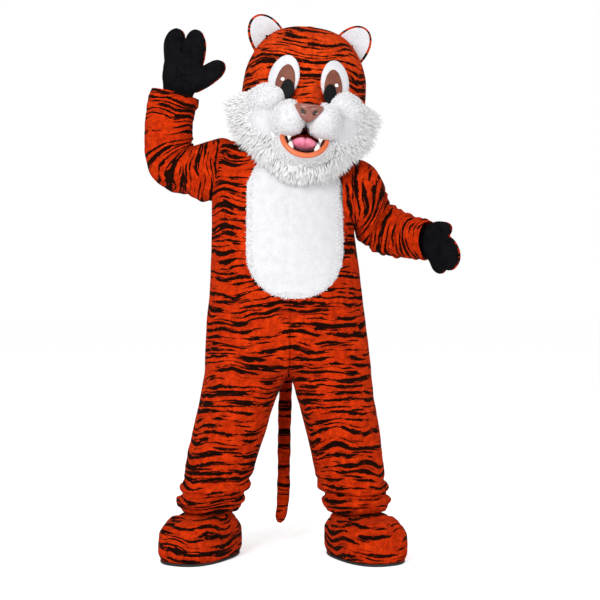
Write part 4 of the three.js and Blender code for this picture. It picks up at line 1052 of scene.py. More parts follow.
def teeth_tree():
    """Geometry Nodes: a tooth at every step of a line, each second one shifted and turned over."""
    tree, start, end = new_geometry_group("zip_teeth", ("Line", "Geometry"), ("Tooth", "Object"),
                                          ("Pitch", "Float"), ("Material", "Material"))
    curve = add_node(tree, "GeometryNodeMeshToCurve", {"Mesh": start.outputs["Line"]})
    stepped = add_node(tree, "GeometryNodeResampleCurve",
                       {"Curve": curve.outputs[0], "Length": start.outputs["Pitch"]}, mode="LENGTH")
    tangent = add_node(tree, "GeometryNodeInputTangent")
    aim = add_node(tree, "FunctionNodeAlignRotationToVector", {"Vector": tangent.outputs[0]}, axis="Z",
                   pivot_axis="AUTO")
    index = add_node(tree, "GeometryNodeInputIndex")
    half_turn = maths(tree, "MULTIPLY", maths(tree, "MODULO", index.outputs[0], 2.0), math.pi)
    spin = add_node(tree, "ShaderNodeCombineXYZ", {2: half_turn})
    turn = add_node(tree, "FunctionNodeRotateRotation",
                    {"Rotation": aim.outputs[0], "Rotate By": spin.outputs[0]}, rotation_space="LOCAL")
    tooth = add_node(tree, "GeometryNodeObjectInfo", {"Object": start.outputs["Tooth"]})
    put = add_node(tree, "GeometryNodeInstanceOnPoints",
                   {"Points": stepped.outputs[0], "Instance": tooth.outputs["Geometry"],
                    "Rotation": turn.outputs[0]})
    real = add_node(tree, "GeometryNodeRealizeInstances", {0: put.outputs[0]})
    coat = add_node(tree, "GeometryNodeSetMaterial",
                    {"Geometry": real.outputs[0], "Material": start.outputs["Material"]})
    tree.links.new(coat.outputs[0], end.inputs[0])
    return tree


def set_input(modifier, label, value):
    for item in modifier.node_group.interface.items_tree:
        if item.name == label and item.in_out == "INPUT":
            modifier[item.identifier] = value


def grown(obj, tree, **values):
    """Runs a Geometry Nodes tree on an object and keeps the result as a plain mesh."""
    modifier = obj.modifiers.new("nodes", "NODES")
    modifier.node_group = tree
    for label, value in values.items():
        set_input(modifier, label.replace("_", " "), value)
    obj.update_tag()
    bpy.context.view_layer.update()
    return applied(obj)


def make_zip():
    heights = np.arange(932, 1384, 6.0)
    line_points, _ = back_line(heights, -3.2)
    mesh = bpy.data.meshes.new("zip_line")
    steps = [(i, i + 1) for i in range(len(heights) - 1)]
    mesh.from_pydata([tuple(p) for p in place(line_points)], steps, [])
    chain = bpy.data.objects.new("zip_chain_teeth", mesh)
    bpy.context.scene.collection.objects.link(chain)
    bar = bmesh.new()
    bmesh.ops.create_cube(bar, size=1.0)
    bmesh.ops.scale(bar, vec=(0.0042, 0.0024, 0.0013), verts=bar.verts)
    bmesh.ops.translate(bar, vec=(0.0008, 0, 0), verts=bar.verts)
    tooth_mesh = bpy.data.meshes.new("zip_tooth")
    bar.to_mesh(tooth_mesh)
    bar.free()
    tooth = bpy.data.objects.new("zip_tooth", tooth_mesh)
    bpy.context.scene.collection.objects.link(tooth)
    grown(chain, teeth_tree(), Tooth=tooth, Pitch=0.0021, Material=BRASS)
    remove(tooth)
    finish_piece(chain, BRASS, "zip_metal", "zip_chain")
    for node, material in (("zip_tape", TAPE), ("zip_slider", BRASS), ("zip_pull", BRASS)):
        NODES[node].data.materials.clear()
        NODES[node].data.materials.append(material)


# ------------------------------------------------------------------ head
def head_rings(grow=0.0, rows=None, sides=96, count=78):
    """Rings of the head's form; the first column is the face's middle, and it runs to the left."""
    rows = rows or HEAD_SHELL + [(243, 0.5, 0.5, 0.5)]
    heights = np.array([row[0] for row in rows], float)
    arc = np.concatenate([[0], np.cumsum(np.hypot(np.diff(heights), np.diff([row[1] for row in rows])))])
    fine = rows_at(HEAD_COLUMNS, rows, arc, np.linspace(0, arc[-1], count))
    angle = -math.pi / 2 + 2 * math.pi * np.arange(sides) / sides
    depth = np.where(np.sin(angle)[None, :] < 0, fine["front"][:, None], fine["back"][:, None])
    ring = np.stack([fine["half"][:, None] * np.cos(angle)[None, :], depth * np.sin(angle)[None, :],
                     np.broadcast_to(fine["height"][:, None], depth.shape)], -1)
    if grow:
        normal = sheet_normals(ring, True)
        ring = ring + normal * grow
    return ring


def head_form(name, grow=0.0, skirt=False):
    """The head's outer form as a closed body, to cut face parts with and lay patches on."""
    rows = ([(-420, 158, 156, 156)] if skirt else []) + HEAD_SHELL + [(243, 0.5, 0.5, 0.5)]
    return closed_tube(name, on_head(head_rings(grow, rows, 72, 60)))


def make_crown():
    """The printed skull in two halves: foam and plush together, open below."""
    ring = head_rings()
    normal = sheet_normals(ring, True)
    theta = np.linspace(0, 2 * math.pi, ring.shape[1], endpoint=False)[None, :]
    seam = np.minimum(np.abs(np.sin(theta)), 1.0) * np.linalg.norm(ring[..., :2], axis=-1)
    swell = 1.2 * lumps(ring, 150, 41) - 1.8 * np.exp(-((seam / 5.0) ** 2))
    cloth = ring + normal * swell[..., None]
    inner = ring - normal * FOAM_PLUSH
    inner[..., 2] = np.where(np.arange(len(ring))[:, None] == 0, ring[..., 2], inner[..., 2])
    half = ring.shape[1] // 2
    for side, word in SIDES:
        columns = np.arange(half + 1) if side > 0 else np.arange(half, 2 * half + 1) % (2 * half)
        shift = np.array([side * 0.2, 0, 0])
        part = on_head(cloth[:, columns] + shift)
        points, faces = wall_mesh(part, on_head(inner[:, columns] + shift), False)
        crown = new_object(f"head_crown_{word}_plush", points, faces)
        merged(crown, 0.0002)
        note(crown, "cloth_place", from_head(points_of(crown)) + np.array([0, 0, 0.21]))
        finish_piece(crown, TIGER_HEAD, "tiger_plush", f"head_crown_{word}")


def ball(name, centre, radii, turn=(0, 0, 0), sides=72, rings=40, swell=None):
    """An ellipsoid in the head's frame, turned about X, Y then Z, with uneven swelling."""
    a = np.linspace(0, math.pi, rings)[:, None]
    b = 2 * math.pi * np.arange(sides)[None, :] / sides
    unit = np.stack([np.sin(a) * np.cos(b), np.sin(a) * np.sin(b), -np.cos(a) + 0 * b], -1)
    points = unit * np.array(radii)
    if swell is not None:
        points = points + unit * swell(points)[..., None]
    for axis, degrees in zip("XYZ", turn):
        rotation = np.array(Matrix.Rotation(math.radians(degrees), 3, axis))
        points = points @ rotation.T
    points = points + np.array(centre)
    obj = new_object(name, on_head(points).reshape(-1, 3), [tuple(f) for f in grid_faces(rings, sides, True)])
    return merged(obj)


def horizontal_form(name, rows, sides=64, count=40):
    """A closed form through level oval rings, with rounded ends."""
    heights = np.array([row[0] for row in rows], float)
    at = np.linspace(heights[0], heights[-1], count)
    values = np.asarray(rows, float)
    y, half, depth = (smooth_through(heights, values[:, i], at) for i in (1, 2, 3))
    end = np.minimum(at - heights[0], heights[-1] - at) / 9.0
    round_off = np.sqrt(np.clip(1 - (1 - np.clip(end, 0, 1)) ** 2, 0.0004, 1)) * 0.35 + 0.65
    round_off[[0, -1]] = 0.02
    angle = 2 * math.pi * np.arange(sides) / sides
    ring = np.stack([(half * round_off)[:, None] * np.cos(angle),
                     y[:, None] + (depth * round_off)[:, None] * np.sin(angle),
                     np.broadcast_to(at[:, None], (count, sides))], -1)
    return closed_tube(name, on_head(ring))


def shell_patch(name, form_tree, x, z, half_width, half_height, lean, base, thickness, corner,
                squareness=2.0, rings=16, sides=64):
    """A rounded patch on the head's surface, closed, from the surface to its own thickness."""
    share = np.sin(np.linspace(0, 1, rings + 1)[1:] * math.pi / 2)
    tilt = math.radians(lean)
    top, bottom = [], []
    for r in share:
        for k in range(sides):
            angle = 2 * math.pi * k / sides
            across = half_width * r * math.cos(angle) * (1 - 0.10 * math.sin(angle))
            up = half_height * r * math.sin(angle)
            px = x + across * math.cos(tilt) - up * math.sin(tilt)
            pz = z + across * math.sin(tilt) + up * math.cos(tilt)
            start = Vector(on_head((px, -500, pz)))
            aim = Vector(on_head((px, 0, pz))) - start
            hit, normal, _, _ = form_tree.ray_cast(start, aim.normalized())
            edge = (1 - r) * min(half_width, half_height)
            rise = base + thickness * min(1.0, (1 - max(1 - edge / corner, 0) ** squareness)) ** 0.5
            top.append(hit + normal * max(rise, base + 0.15) * MM)
            bottom.append(hit + normal * base * MM)
    faces = []
    for skin in range(2):
        offset = skin * rings * sides
        for i in range(rings - 1):
            for k in range(sides):
                n = (k + 1) % sides
                quad = (offset + i * sides + k, offset + i * sides + n,
                        offset + (i + 1) * sides + n, offset + (i + 1) * sides + k)
                faces.append(quad if skin == 0 else quad[::-1])
        cap = tuple(offset + k for k in range(sides))
        faces.append(cap[::-1] if skin == 0 else cap)
    edge_row = (rings - 1) * sides
    for k in range(sides):
        n = (k + 1) % sides
        other = rings * sides + edge_row
        faces.append((edge_row + k, edge_row + n, other + n, other + k))
    return new_object(name, top + bottom, faces)


def make_eyes(form_tree):
    for side, word in SIDES:
        white = shell_patch(f"eye_surround_{word}_plush", form_tree, side * 89, 22, 52, 76, side * 8,
                            0.3, 7.0, 10)
        finish_piece(white, WHITE, "white_plush", f"eye_surround_{word}")
        iris = shell_patch(f"iris_{word}_disc", form_tree, side * 82, 2, 32, 60, side * 5, 7.4, 3.2, 6)
        finish_piece(iris, IRIS, "iris_brown", f"iris_{word}")
        pupil = shell_patch(f"pupil_{word}_disc", form_tree, side * 72, -24, 23, 34, 0, 10.8, 1.9, 5, rings=8)
        finish_piece(pupil, PUPIL, "pupil_black", f"pupil_{word}")
        glint = shell_patch(f"glint_{word}_dot", form_tree, side * 91, 9, 6, 6, 0, 10.9, 1.4, 3,
                            rings=5, sides=20)
        finish_piece(glint, GLINT, "glint_white", f"glint_{word}")


def onto_form(obj, form_tree, gap, keep=None):
    """Moves the points that are inside a form out to its surface, so the piece sits on it."""
    points = points_of(obj)
    for i, p in enumerate(points):
        if keep is not None and not keep[i]:
            continue
        hit, normal, _, _ = form_tree.find_nearest(Vector(p))
        if (Vector(p) - hit).dot(normal) < gap * MM:
            points[i] = hit + normal * gap * MM
    set_points(obj, points)


def make_muzzle(form_tree):
    for side, word in SIDES:
        puff = ball(f"muzzle_{word}_puff", (side * 59, -238, -128), (60, 79, 64), (0, side * -8, 0), 80, 48,
                    lambda p: (1.6 * lumps(p, 70, 51 + side)
                               - 2.5 * np.exp(-((p[..., 0] * side + 52) / 9) ** 2)))
        onto_form(puff, form_tree, 0.4)
        inner = from_head(points_of(puff)) / MM
        inner[:, 0] = side * np.maximum(side * inner[:, 0], 0.2)
        set_points(puff, on_head(inner))
        finish_piece(puff, WHITE, "white_plush", f"muzzle_{word}")
        cheek = ball(f"cheek_{word}_pad", (side * 136, -156, -68), (82, 66, 60), (0, side * 14, side * 30),
                     80, 48, lambda p: 2.4 * lumps(p, 90, 61 + side))
        onto_form(cheek, form_tree, 0.4)
        finish_piece(cheek, WHITE, "white_plush", f"cheek_{word}")
        smile = ball(f"smile_{word}_pad", (side * 126, -160, -136), (78, 60, 70),
                     (0, side * -20, side * 24), 64, 40, lambda p: 1.6 * lumps(p, 70, 64 + side))
        onto_form(smile, form_tree, 0.4)
        finish_piece(smile, WHITE, "white_plush")
        yield side, word, puff, cheek


def make_nose(form_tree):
    nose = horizontal_form("nose_moulded", NOSE)
    local = from_head(points_of(nose)) / MM
    dent = np.zeros(len(local))
    for side in (-1, 1):
        x, z = local[:, 0] - side * 21, local[:, 2] + 109
        slanted = (x * 0.80 + side * z * 0.60) ** 2 / 12 ** 2 + (-side * x * 0.60 + z * 0.80) ** 2 / 7.5 ** 2
        dent += np.exp(-slanted ** 1.5) * (local[:, 1] < -300)
    local[:, 1] += 11 * dent
    groove = np.exp(-(local[:, 0] / 3.0) ** 2) * np.clip((-112 - local[:, 2]) / 12, 0, 1)
    groove = groove * (local[:, 1] < -300)
    local[:, 1] += 3.0 * groove
    set_points(nose, on_head(local))
    # painted shade in the nostril dents, darkest where they are deepest
    note(nose, "hollow", np.clip(dent * 1.6 - 0.35, 0, 1))
    finish_piece(nose, NOSE_BROWN, "nose_brown", "nose")
    bridge = horizontal_form("nose_bridge_plush", BRIDGE)
    onto_form(bridge, form_tree, 0.4)
    note(bridge, "cloth_place", from_head(points_of(bridge)) + np.array([0, 0, 0.21]))
    finish_piece(bridge, TIGER_HEAD, "tiger_plush", "nose_bridge")


def tube(name, path, across, deep, sides=20):
    """A closed tube along a path in the head's frame, flattened front to back."""
    path = np.asarray(path, float)
    tangent = np.gradient(path, axis=0)
    tangent /= np.linalg.norm(tangent, axis=1, keepdims=True)
    forward = np.array([0.0, 1.0, 0.0])
    out = np.cross(tangent, forward)
    out /= np.linalg.norm(out, axis=1, keepdims=True)
    front = np.cross(out, tangent)
    angle = 2 * math.pi * np.arange(sides) / sides
    ring = (path[:, None] + out[:, None] * (np.asarray(across)[:, None] * np.cos(angle))[..., None]
            + front[:, None] * (np.asarray(deep)[:, None] * np.sin(angle))[..., None])
    return closed_tube(name, on_head(ring))


# Name, place in the head's frame, half width, and height towards the tip of each kind of tooth.
TEETH = (("lower", 47, -258, -226, 11, 19), ("upper", 55, -252, -190, 8, -14))


def make_mouth():
    angle = math.pi + math.pi * np.linspace(0, 1, 64)
    path = np.stack([80 * np.cos(angle), -232 - 50 * np.abs(np.sin(angle)) ** 0.8,
                     -182 + 72 * np.sin(angle)], -1)
    ends = np.sqrt(np.clip(1 - (np.abs(np.linspace(-1, 1, 64)) ** 14), 0.02, 1))
    lip = tube("lip_band", path, 9.5 * ends, 11.5 * ends)
    finish_piece(lip, LIP_ORANGE, "lip_orange", "lip")
    lining = ball("mouth_inside", (0, -206, -204), (79, 81, 51), (-8, 0, 0), 64, 36)
    local = from_head(points_of(lining)) / MM
    mesh = bmesh.new()
    mesh.from_mesh(lining.data)
    mesh.verts.ensure_lookup_table()
    front = [v for v in mesh.verts if local[v.index, 1] < -262]
    bmesh.ops.delete(mesh, geom=front, context="VERTS")
    mesh.to_mesh(lining.data)
    mesh.free()
    thick = lining.modifiers.new("wall", "SOLIDIFY")
    thick.thickness = 0.0035
    thick.offset = -1
    applied(lining)
    finish_piece(lining, MOUTH, "mouth_lining", "mouth_lining")
    tongue = ball("tongue_moulded", (0, -230, -213), (45, 54, 21), (-14, 0, 0), 56, 32)
    local = from_head(points_of(tongue)) / MM
    groove = np.exp(-(local[:, 0] / 4.5) ** 2) * np.clip((local[:, 2] + 222) / 8, 0, 1)
    local[:, 2] -= 3.5 * groove
    set_points(tongue, on_head(local))
    # painted shade along the tongue's middle groove
    note(tongue, "hollow", np.clip(groove * 0.7, 0, 1))
    finish_piece(tongue, TONGUE, "tongue_pink", "tongue")
    for side, word in SIDES:
        for name, x, y, z, wide, tall in TEETH:
            tooth = ball(f"tooth_{name}_{word}_moulded", (side * x, y, z), (wide, wide * 0.9, abs(tall)),
                         (0, side * (8 if tall > 0 else -6), 0), 24, 18)
            local = from_head(points_of(tooth)) / MM
            share = np.clip((local[:, 2] - z) / tall, -1, 1)
            narrow = 1 - 0.38 * np.clip(share, 0, 1) ** 1.2
            local[:, 0] = side * x + (local[:, 0] - side * x) * narrow
            local[:, 1] = y + (local[:, 1] - y) * narrow
            set_points(tooth, on_head(local))
            finish_piece(tooth, TOOTH, "tooth_white", f"tooth_{name}_{word}")


def fur_body(name, side_angles, form_tree, swell_seed):
    """The backing of the long fur: sections round the face's lower half, fat at the root."""
    table = np.asarray(FUR, float)
    signed = np.asarray(side_angles, float)
    mirrored = np.where(signed < -90, -180 - signed, signed)
    side = np.where(signed < -90, -1.0, 1.0)
    order = np.argsort(table[:, 0])
    table = table[order]
    read = {column: smooth_through(table[:, 0], table[:, i], mirrored) for i, column in enumerate(FUR_COLUMNS)}
    reach = read["reach"] - 26 - 30 * np.clip((mirrored + 3) / 12, 0, 1) ** 1.3
    middle = (read["root"] + reach) / 2
    corner = [
        (read["root"], read["root_front"]), (middle, (read["root_front"] + read["tip_y"]) / 2 - 16),
        (reach, read["tip_y"] - 8), (reach, read["tip_y"] + 8),
        (middle, (read["root_back"] + read["tip_y"]) / 2 + 14), (read["root"], read["root_back"]),
    ]
    loop = np.stack([np.stack(c, -1) for c in corner], 1)
    count = 28
    spread = np.linspace(0, len(corner), count, endpoint=False)
    low = np.floor(spread).astype(int) % len(corner)
    t = (spread - np.floor(spread))[None, :, None]
    p0, p1 = loop[:, (low - 1) % 6], loop[:, low]
    p2, p3 = loop[:, (low + 1) % 6], loop[:, (low + 2) % 6]
    section = 0.5 * (2 * p1 + (p2 - p0) * t + (2 * p0 - 5 * p1 + 4 * p2 - p3) * t**2
                     + (3 * p1 - p0 - 3 * p2 + p3) * t**3)
    section[..., 0] += 3.5 * np.sin(signed[:, None] * 0.21 + swell_seed) * (spread[None, :] < 4)
    angle = np.radians(mirrored)[:, None]
    x = side[:, None] * section[..., 0] * np.cos(angle)
    z = FUR_CENTRE_Z + section[..., 0] * np.sin(angle)
    ring = np.stack([x, section[..., 1], z], -1)
    obj = closed_tube(name, on_head(ring))
    onto_form(obj, form_tree, 0.4)
    return obj


# ------------------------------------------------------------------ fur
def strand_object(name, bends, width, blades, lean, seed):
    """A lock of fur one unit tall: a few thin three-sided spikes that close towards one tip."""
    rng = np.random.default_rng(seed)
    points, faces, along = [], [], []
    for b in range(blades):
        start_angle = 2 * math.pi * b / blades + rng.uniform(-0.4, 0.4)
        root = np.array([math.cos(start_angle), math.sin(start_angle), 0]) * lean
        tip = np.array([rng.uniform(-0.05, 0.05) + bends, rng.uniform(-0.05, 0.05), rng.uniform(0.82, 1.0)])
        middle = root * 0.55 + np.array([bends * 0.28, 0, 0.52 * tip[2]])
        first = len(points)
        for centre, size, share in ((root, width, 0.0), (middle, width * 0.72, 0.5)):
            for k in range(3):
                a = 2 * math.pi * k / 3 + start_angle
                points.append(centre + np.array([math.cos(a), math.sin(a), 0]) * size)
                along.append(share)
        points.append(tip)
        along.append(1.0)
        for k in range(3):
            n = (k + 1) % 3
            faces.append((first + k, first + n, first + 3 + n, first + 3 + k))
            faces.append((first + 3 + k, first + 3 + n, first + 6))
        faces.append((first + 2, first + 1, first))
    obj = new_object(name, points, faces)
    note(obj, "along", along)
    return obj


def fur_tree():
    """Geometry Nodes: locks of fur scattered on a backing, combed along its noted direction."""
    tree, start, end = new_geometry_group(
        "combed_fur", ("Backing", "Geometry"), ("Lock", "Object"), ("Density", "Float"), ("Length", "Float"),
        ("Width", "Float"), ("Lift", "Float"), ("Tangle", "Float"), ("Seed", "Int"), ("Material", "Material"))
    values = start.outputs
    growth = add_node(tree, "GeometryNodeInputNamedAttribute", {"Name": "fur_length"}, data_type="FLOAT")
    comb = add_node(tree, "GeometryNodeInputNamedAttribute", {"Name": "fur_comb"}, data_type="FLOAT_VECTOR")
    thick = maths(tree, "MULTIPLY", values["Density"], growth.outputs[0])
    scatter = add_node(tree, "GeometryNodeDistributePointsOnFaces",
                       {"Mesh": values["Backing"], "Density": thick, "Seed": values["Seed"]},
                       distribute_method="RANDOM")
    lifted = add_node(tree, "ShaderNodeVectorMath", {0: scatter.outputs["Normal"], "Scale": values["Lift"]},
                      operation="SCALE")
    tangle = add_node(tree, "FunctionNodeRandomValue",
                      {0: (-1, -1, -1), 1: (1, 1, 1), "Seed": values["Seed"]}, data_type="FLOAT_VECTOR")
    loose = add_node(tree, "ShaderNodeVectorMath", {0: tangle.outputs[0], "Scale": values["Tangle"]},
                     operation="SCALE")
    combed = vector_maths(tree, "ADD", lifted.outputs[0], comb.outputs[0])
    lie = vector_maths(tree, "ADD", combed, loose.outputs[0])
    aim = add_node(tree, "FunctionNodeAlignRotationToVector", {"Vector": lie}, axis="Z")
    spin = add_node(tree, "FunctionNodeRandomValue", {2: 0.0, 3: 2 * math.pi, "Seed": values["Seed"]},
                    data_type="FLOAT")
    about = add_node(tree, "ShaderNodeCombineXYZ", {2: spin.outputs[1]})
    turn = add_node(tree, "FunctionNodeRotateRotation",
                    {"Rotation": aim.outputs[0], "Rotate By": about.outputs[0]}, rotation_space="LOCAL")
    uneven = add_node(tree, "FunctionNodeRandomValue", {2: 0.72, 3: 1.15, "Seed": values["Seed"]},
                      data_type="FLOAT")
    full_length = maths(tree, "MULTIPLY", values["Length"], growth.outputs[0])
    tall = maths(tree, "MULTIPLY", full_length, uneven.outputs[1])
    size = add_node(tree, "ShaderNodeCombineXYZ",
                    {0: values["Width"], 1: values["Width"], 2: tall})
    lock = add_node(tree, "GeometryNodeObjectInfo", {"Object": values["Lock"]})
    put = add_node(tree, "GeometryNodeInstanceOnPoints",
                   {"Points": scatter.outputs["Points"], "Instance": lock.outputs["Geometry"],
                    "Rotation": turn.outputs[0], "Scale": size.outputs[0]})
    real = add_node(tree, "GeometryNodeRealizeInstances", {0: put.outputs[0]})
    coat = add_node(tree, "GeometryNodeSetMaterial",
                    {"Geometry": real.outputs[0], "Material": values["Material"]})
    tree.links.new(coat.outputs[0], end.inputs[0])
    return tree


FUR_TREE = fur_tree()
LONG_LOCK = strand_object("long_lock", 0.16, 0.26, 3, 0.55, 5)
SHORT_LOCK = strand_object("short_lock", 0.10, 0.30, 2, 0.45, 6)


def grow_fur(name, backing, lock, length, width, per_m2, lift, tangle, seed, comb, growth, material, slot):
    """Fur on a backing piece; comb and growth are worked out for every point of the backing."""
    obj = bpy.data.objects.new(name, backing.data.copy())
    bpy.context.scene.collection.objects.link(obj)
    for label in ("fur_comb", "fur_length"):
        if label in obj.data.attributes:
            obj.data.attributes.remove(obj.data.attributes[label])
    points, normals = points_of(obj), normals_of(obj)
    note(obj, "fur_comb", comb(points, normals))
    note(obj, "fur_length", growth(points, normals))
    grown(obj, FUR_TREE, Lock=lock, Density=per_m2, Length=length * MM, Width=width * MM, Lift=lift,
          Tangle=tangle, Seed=seed, Material=material)
    finish_piece(obj, material, slot)
    return obj


def radial_comb(weight, down):
    """Fur combed away from the face's middle and a little down."""
    def comb(points, normals):
        local = from_head(points) / MM
        out = np.stack([local[:, 0], np.zeros(len(local)), local[:, 2] - FUR_CENTRE_Z], -1)
        out /= np.maximum(np.linalg.norm(out, axis=1, keepdims=True), 1)
        rotation = np.array(HEAD_MATRIX)[:3, :3]
        return (out @ rotation.T) * weight + np.array([0, 0, -down])
    return comb


def make_head_fur(form_tree):
    angles = {"left": np.linspace(9, -60, 40), "right": np.linspace(-120, -189, 40)}
    for word, seed in (("left", 1), ("right", 2)):
        base = fur_body(f"ruff_{word}_backing", angles[word], form_tree, seed)
        finish_piece(base, RUFF_BASE, "long_fur", f"ruff_{word}")
        grow_fur(f"ruff_{word}_fur", base, LONG_LOCK, 50, 6.2, 30000, 0.34, 0.30, 70 + seed,
                 radial_comb(1.0, 0.30), long_growth, FUR_WHITE, "long_fur")
    chin = fur_body("chin_backing", np.linspace(-58, -122, 44), form_tree, 3)
    finish_piece(chin, RUFF_BASE, "long_fur", "chin")
    grow_fur("chin_fur", chin, LONG_LOCK, 46, 6.2, 30000, 0.32, 0.28, 77, radial_comb(1.0, 0.34),
             long_growth, FUR_WHITE, "long_fur")
    jaw = ball("jaw_pad", (0, -198, -218), (108, 92, 62), (-8, 0, 0), 80, 44,
               lambda p: 1.5 * lumps(p, 80, 81))
    gape = ball("mouth_gape", (0, -240, -186), (78, 130, 66), (0, 0, 0), 64, 36)
    cut_away(jaw, gape)
    remove(gape)
    finish_piece(jaw, WHITE, "long_fur")
    grow_fur("jaw_pile", jaw, SHORT_LOCK, 11, 3.0, 34000, 0.7, 0.5, 78, radial_comb(0.7, 0.3),
             below_lip_growth, PILE_WHITE, "long_fur")


def long_growth(points, normals):
    """Long fur all over the backing but where it meets the head, shorter close to the face."""
    local = from_head(points) / MM
    radius = np.hypot(local[:, 0], local[:, 2] - FUR_CENTRE_Z)
    out = np.clip((radius - 120) / 90, 0.35, 1.0)
    behind = np.clip((30 - local[:, 1]) / 40, 0, 1)
    low = np.clip((52 - (local[:, 2] - FUR_CENTRE_Z)) / 60, 0.3, 1)
    jaw = (local[:, 0] / 106) ** 2 + ((local[:, 2] + 206) / 72) ** 2
    return out * behind * low * np.where((jaw < 1) & (local[:, 1] < -150), 0, 1)


def below_lip_growth(points, normals):
    local = from_head(points) / MM
    mouth = (local[:, 0] / 92) ** 2 + ((local[:, 2] + 186) / 84) ** 2
    return np.where((mouth > 1.0) & (local[:, 1] < -160), 0.9, 0.0)


def make_pile(puffs, belly):
    """Short pile that softens the edges of the white plush."""
    def face_growth(points, normals):
        local = from_head(points) / MM
        front = (local[:, 1] < -125).astype(float)
        mouth = (np.abs(local[:, 0]) < 84) & (local[:, 2] < -176) & (local[:, 1] > -300)
        nose = (np.abs(local[:, 0]) < 46) & (local[:, 2] > -128) & (local[:, 1] < -268)
        return np.where(mouth | nose, 0.0, front * 0.9)

    for side, word, puff, cheek in puffs:
        grow_fur(f"muzzle_{word}_pile", puff, SHORT_LOCK, 8, 2.4, 30000, 0.7, 0.4, 90 + side,
                 radial_comb(0.6, 0.25), face_growth, PILE_WHITE, "white_plush")
        grow_fur(f"cheek_{word}_pile", cheek, SHORT_LOCK, 12, 2.6, 30000, 0.4, 0.3, 93 + side,
                 radial_comb(1.0, 0.25), lambda p, n: (from_head(p)[:, 1] < -0.09) * 1.0, PILE_WHITE,
                 "white_plush")

    def edge_growth(points, normals):
        height = points[:, 2] / MM + SHOULDER_HEIGHT
        half = np.array([belly_outline(h) for h in height])
        off = half - np.abs(points[:, 0] / MM - BELLY["centre"])
        inside = np.minimum(off, height - BELLY["bottom"])
        return np.where((inside < 26) & (normals[:, 1] < 0.2), 1.0, 0.0)

    grow_fur("belly_edge_pile", belly, SHORT_LOCK, 9, 2.4, 32000, 0.6, 0.5, 97,
             lambda p, n: np.stack([n[:, 0] * 1.2, np.zeros(len(p)), np.full(len(p), -0.5)], -1), edge_growth,
             PILE_WHITE, "white_plush")


# ------------------------------------------------------------------ ears
def ear_plate(name, inset, near_y, far_y, cup, place_matrix, corner):
    """A rounded ear plate between two depths, cupped a little, in the head's frame."""
    half, height, foot = 66 - inset, 112 - inset, -64
    sides, rings = 72, 14
    outline = []
    for k in range(sides):
        a = 2 * math.pi * k / sides
        x, z = half * math.cos(a), height * math.sin(a)
        if math.sin(a) < 0:
            z = foot * abs(math.sin(a)) ** 0.6
            x = half * math.copysign(abs(math.cos(a)) ** 0.6, math.cos(a))
        else:
            z = height * math.sin(a) ** 0.85
        outline.append((x, z))
    top, bottom = [], []
    for r in np.sin(np.linspace(0, 1, rings + 1)[1:] * math.pi / 2):
        for x, z in outline:
            px, pz = x * r, 20 + (z - 20) * r
            bowl = cup * (1 - min((px / half) ** 2 + ((pz - 20) / height) ** 2, 1))
            edge = (1 - r) * half
            round_in = 1 - min(1.0, (1 - max(1 - edge / corner, 0) ** 2)) ** 0.5
            middle = (near_y + far_y) / 2
            top.append((px, near_y + (middle - near_y) * round_in + bowl, pz))
            bottom.append((px, far_y + (middle - far_y) * round_in + bowl, pz))
    faces = []
    for skin in range(2):
        offset = skin * rings * sides
        for i in range(rings - 1):
            for k in range(sides):
                n = (k + 1) % sides
                quad = (offset + i * sides + k, offset + i * sides + n,
                        offset + (i + 1) * sides + n, offset + (i + 1) * sides + k)
                faces.append(quad if skin else quad[::-1])
        cap = tuple(offset + k for k in range(sides))
        faces.append(cap if skin else cap[::-1])
    edge_row = (rings - 1) * sides
    for k in range(sides):
        n = (k + 1) % sides
        other = rings * sides + edge_row
        faces.append((edge_row + n, edge_row + k, other + k, other + n))
    local = np.array([tuple(place_matrix @ Vector(p)) for p in top + bottom])
    return new_object(name, on_head(local), faces)


def make_ears(cutter):
    for side, word in SIDES:
        matrix = Matrix.Translation((side * 142, 0, 166)) @ Matrix.Rotation(math.radians(side * 35), 4, "Y")
        back = ear_plate(f"ear_back_{word}_plush", 0, 0, 14, 5, matrix, 8)
        cut_away(back, cutter)
        local = from_head(points_of(back))
        note(back, "cloth_place", local * np.array([1, 1, 0.9]) + np.array([0.05, 0, 0.36]))
        finish_piece(back, TIGER_HEAD, "tiger_plush", f"ear_back_{word}")
        lining = ear_plate(f"ear_lining_{word}_plush", 9, -6.3, -0.2, 5, matrix, 7)
        cut_away(lining, cutter)
        finish_piece(lining, WHITE, "white_plush", f"ear_lining_{word}")


# ------------------------------------------------------------------ paws
def rod_mesh(mesh, rounds, flat, sides=28):
    """Adds one stuffed finger, or the hand, to a mesh: rounds along a bone in the palm's plane."""
    table = np.asarray(rounds, float)
    along = np.concatenate([[0], np.cumsum(np.hypot(np.diff(table[:, 0]), np.diff(table[:, 1])))])
    at = np.linspace(0, along[-1], 34)
    x, z, radius = (smooth_through(along, table[:, i], at) for i in range(3))
    tangent = np.stack([np.gradient(x), np.gradient(z)], -1)
    tangent /= np.linalg.norm(tangent, axis=1, keepdims=True)
    rings = []
    for i in range(len(at)):
        ring = []
        for k in range(sides):
            a = 2 * math.pi * k / sides
            ring.append(mesh.verts.new((x[i] + tangent[i, 1] * radius[i] * math.cos(a),
                                        flat * radius[i] * math.sin(a),
                                        z[i] - tangent[i, 0] * radius[i] * math.cos(a))))
        rings.append(ring)
    for low, high in zip(rings, rings[1:]):
        for k in range(sides):
            n = (k + 1) % sides
            mesh.faces.new((low[k], low[n], high[n], high[k]))
    mesh.faces.new(rings[0][::-1])
    mesh.faces.new(rings[-1])


MITT_SKINS = (("palm", -1, BLACK, "black_plush"), ("back", 1, TIGER, "tiger_plush"))


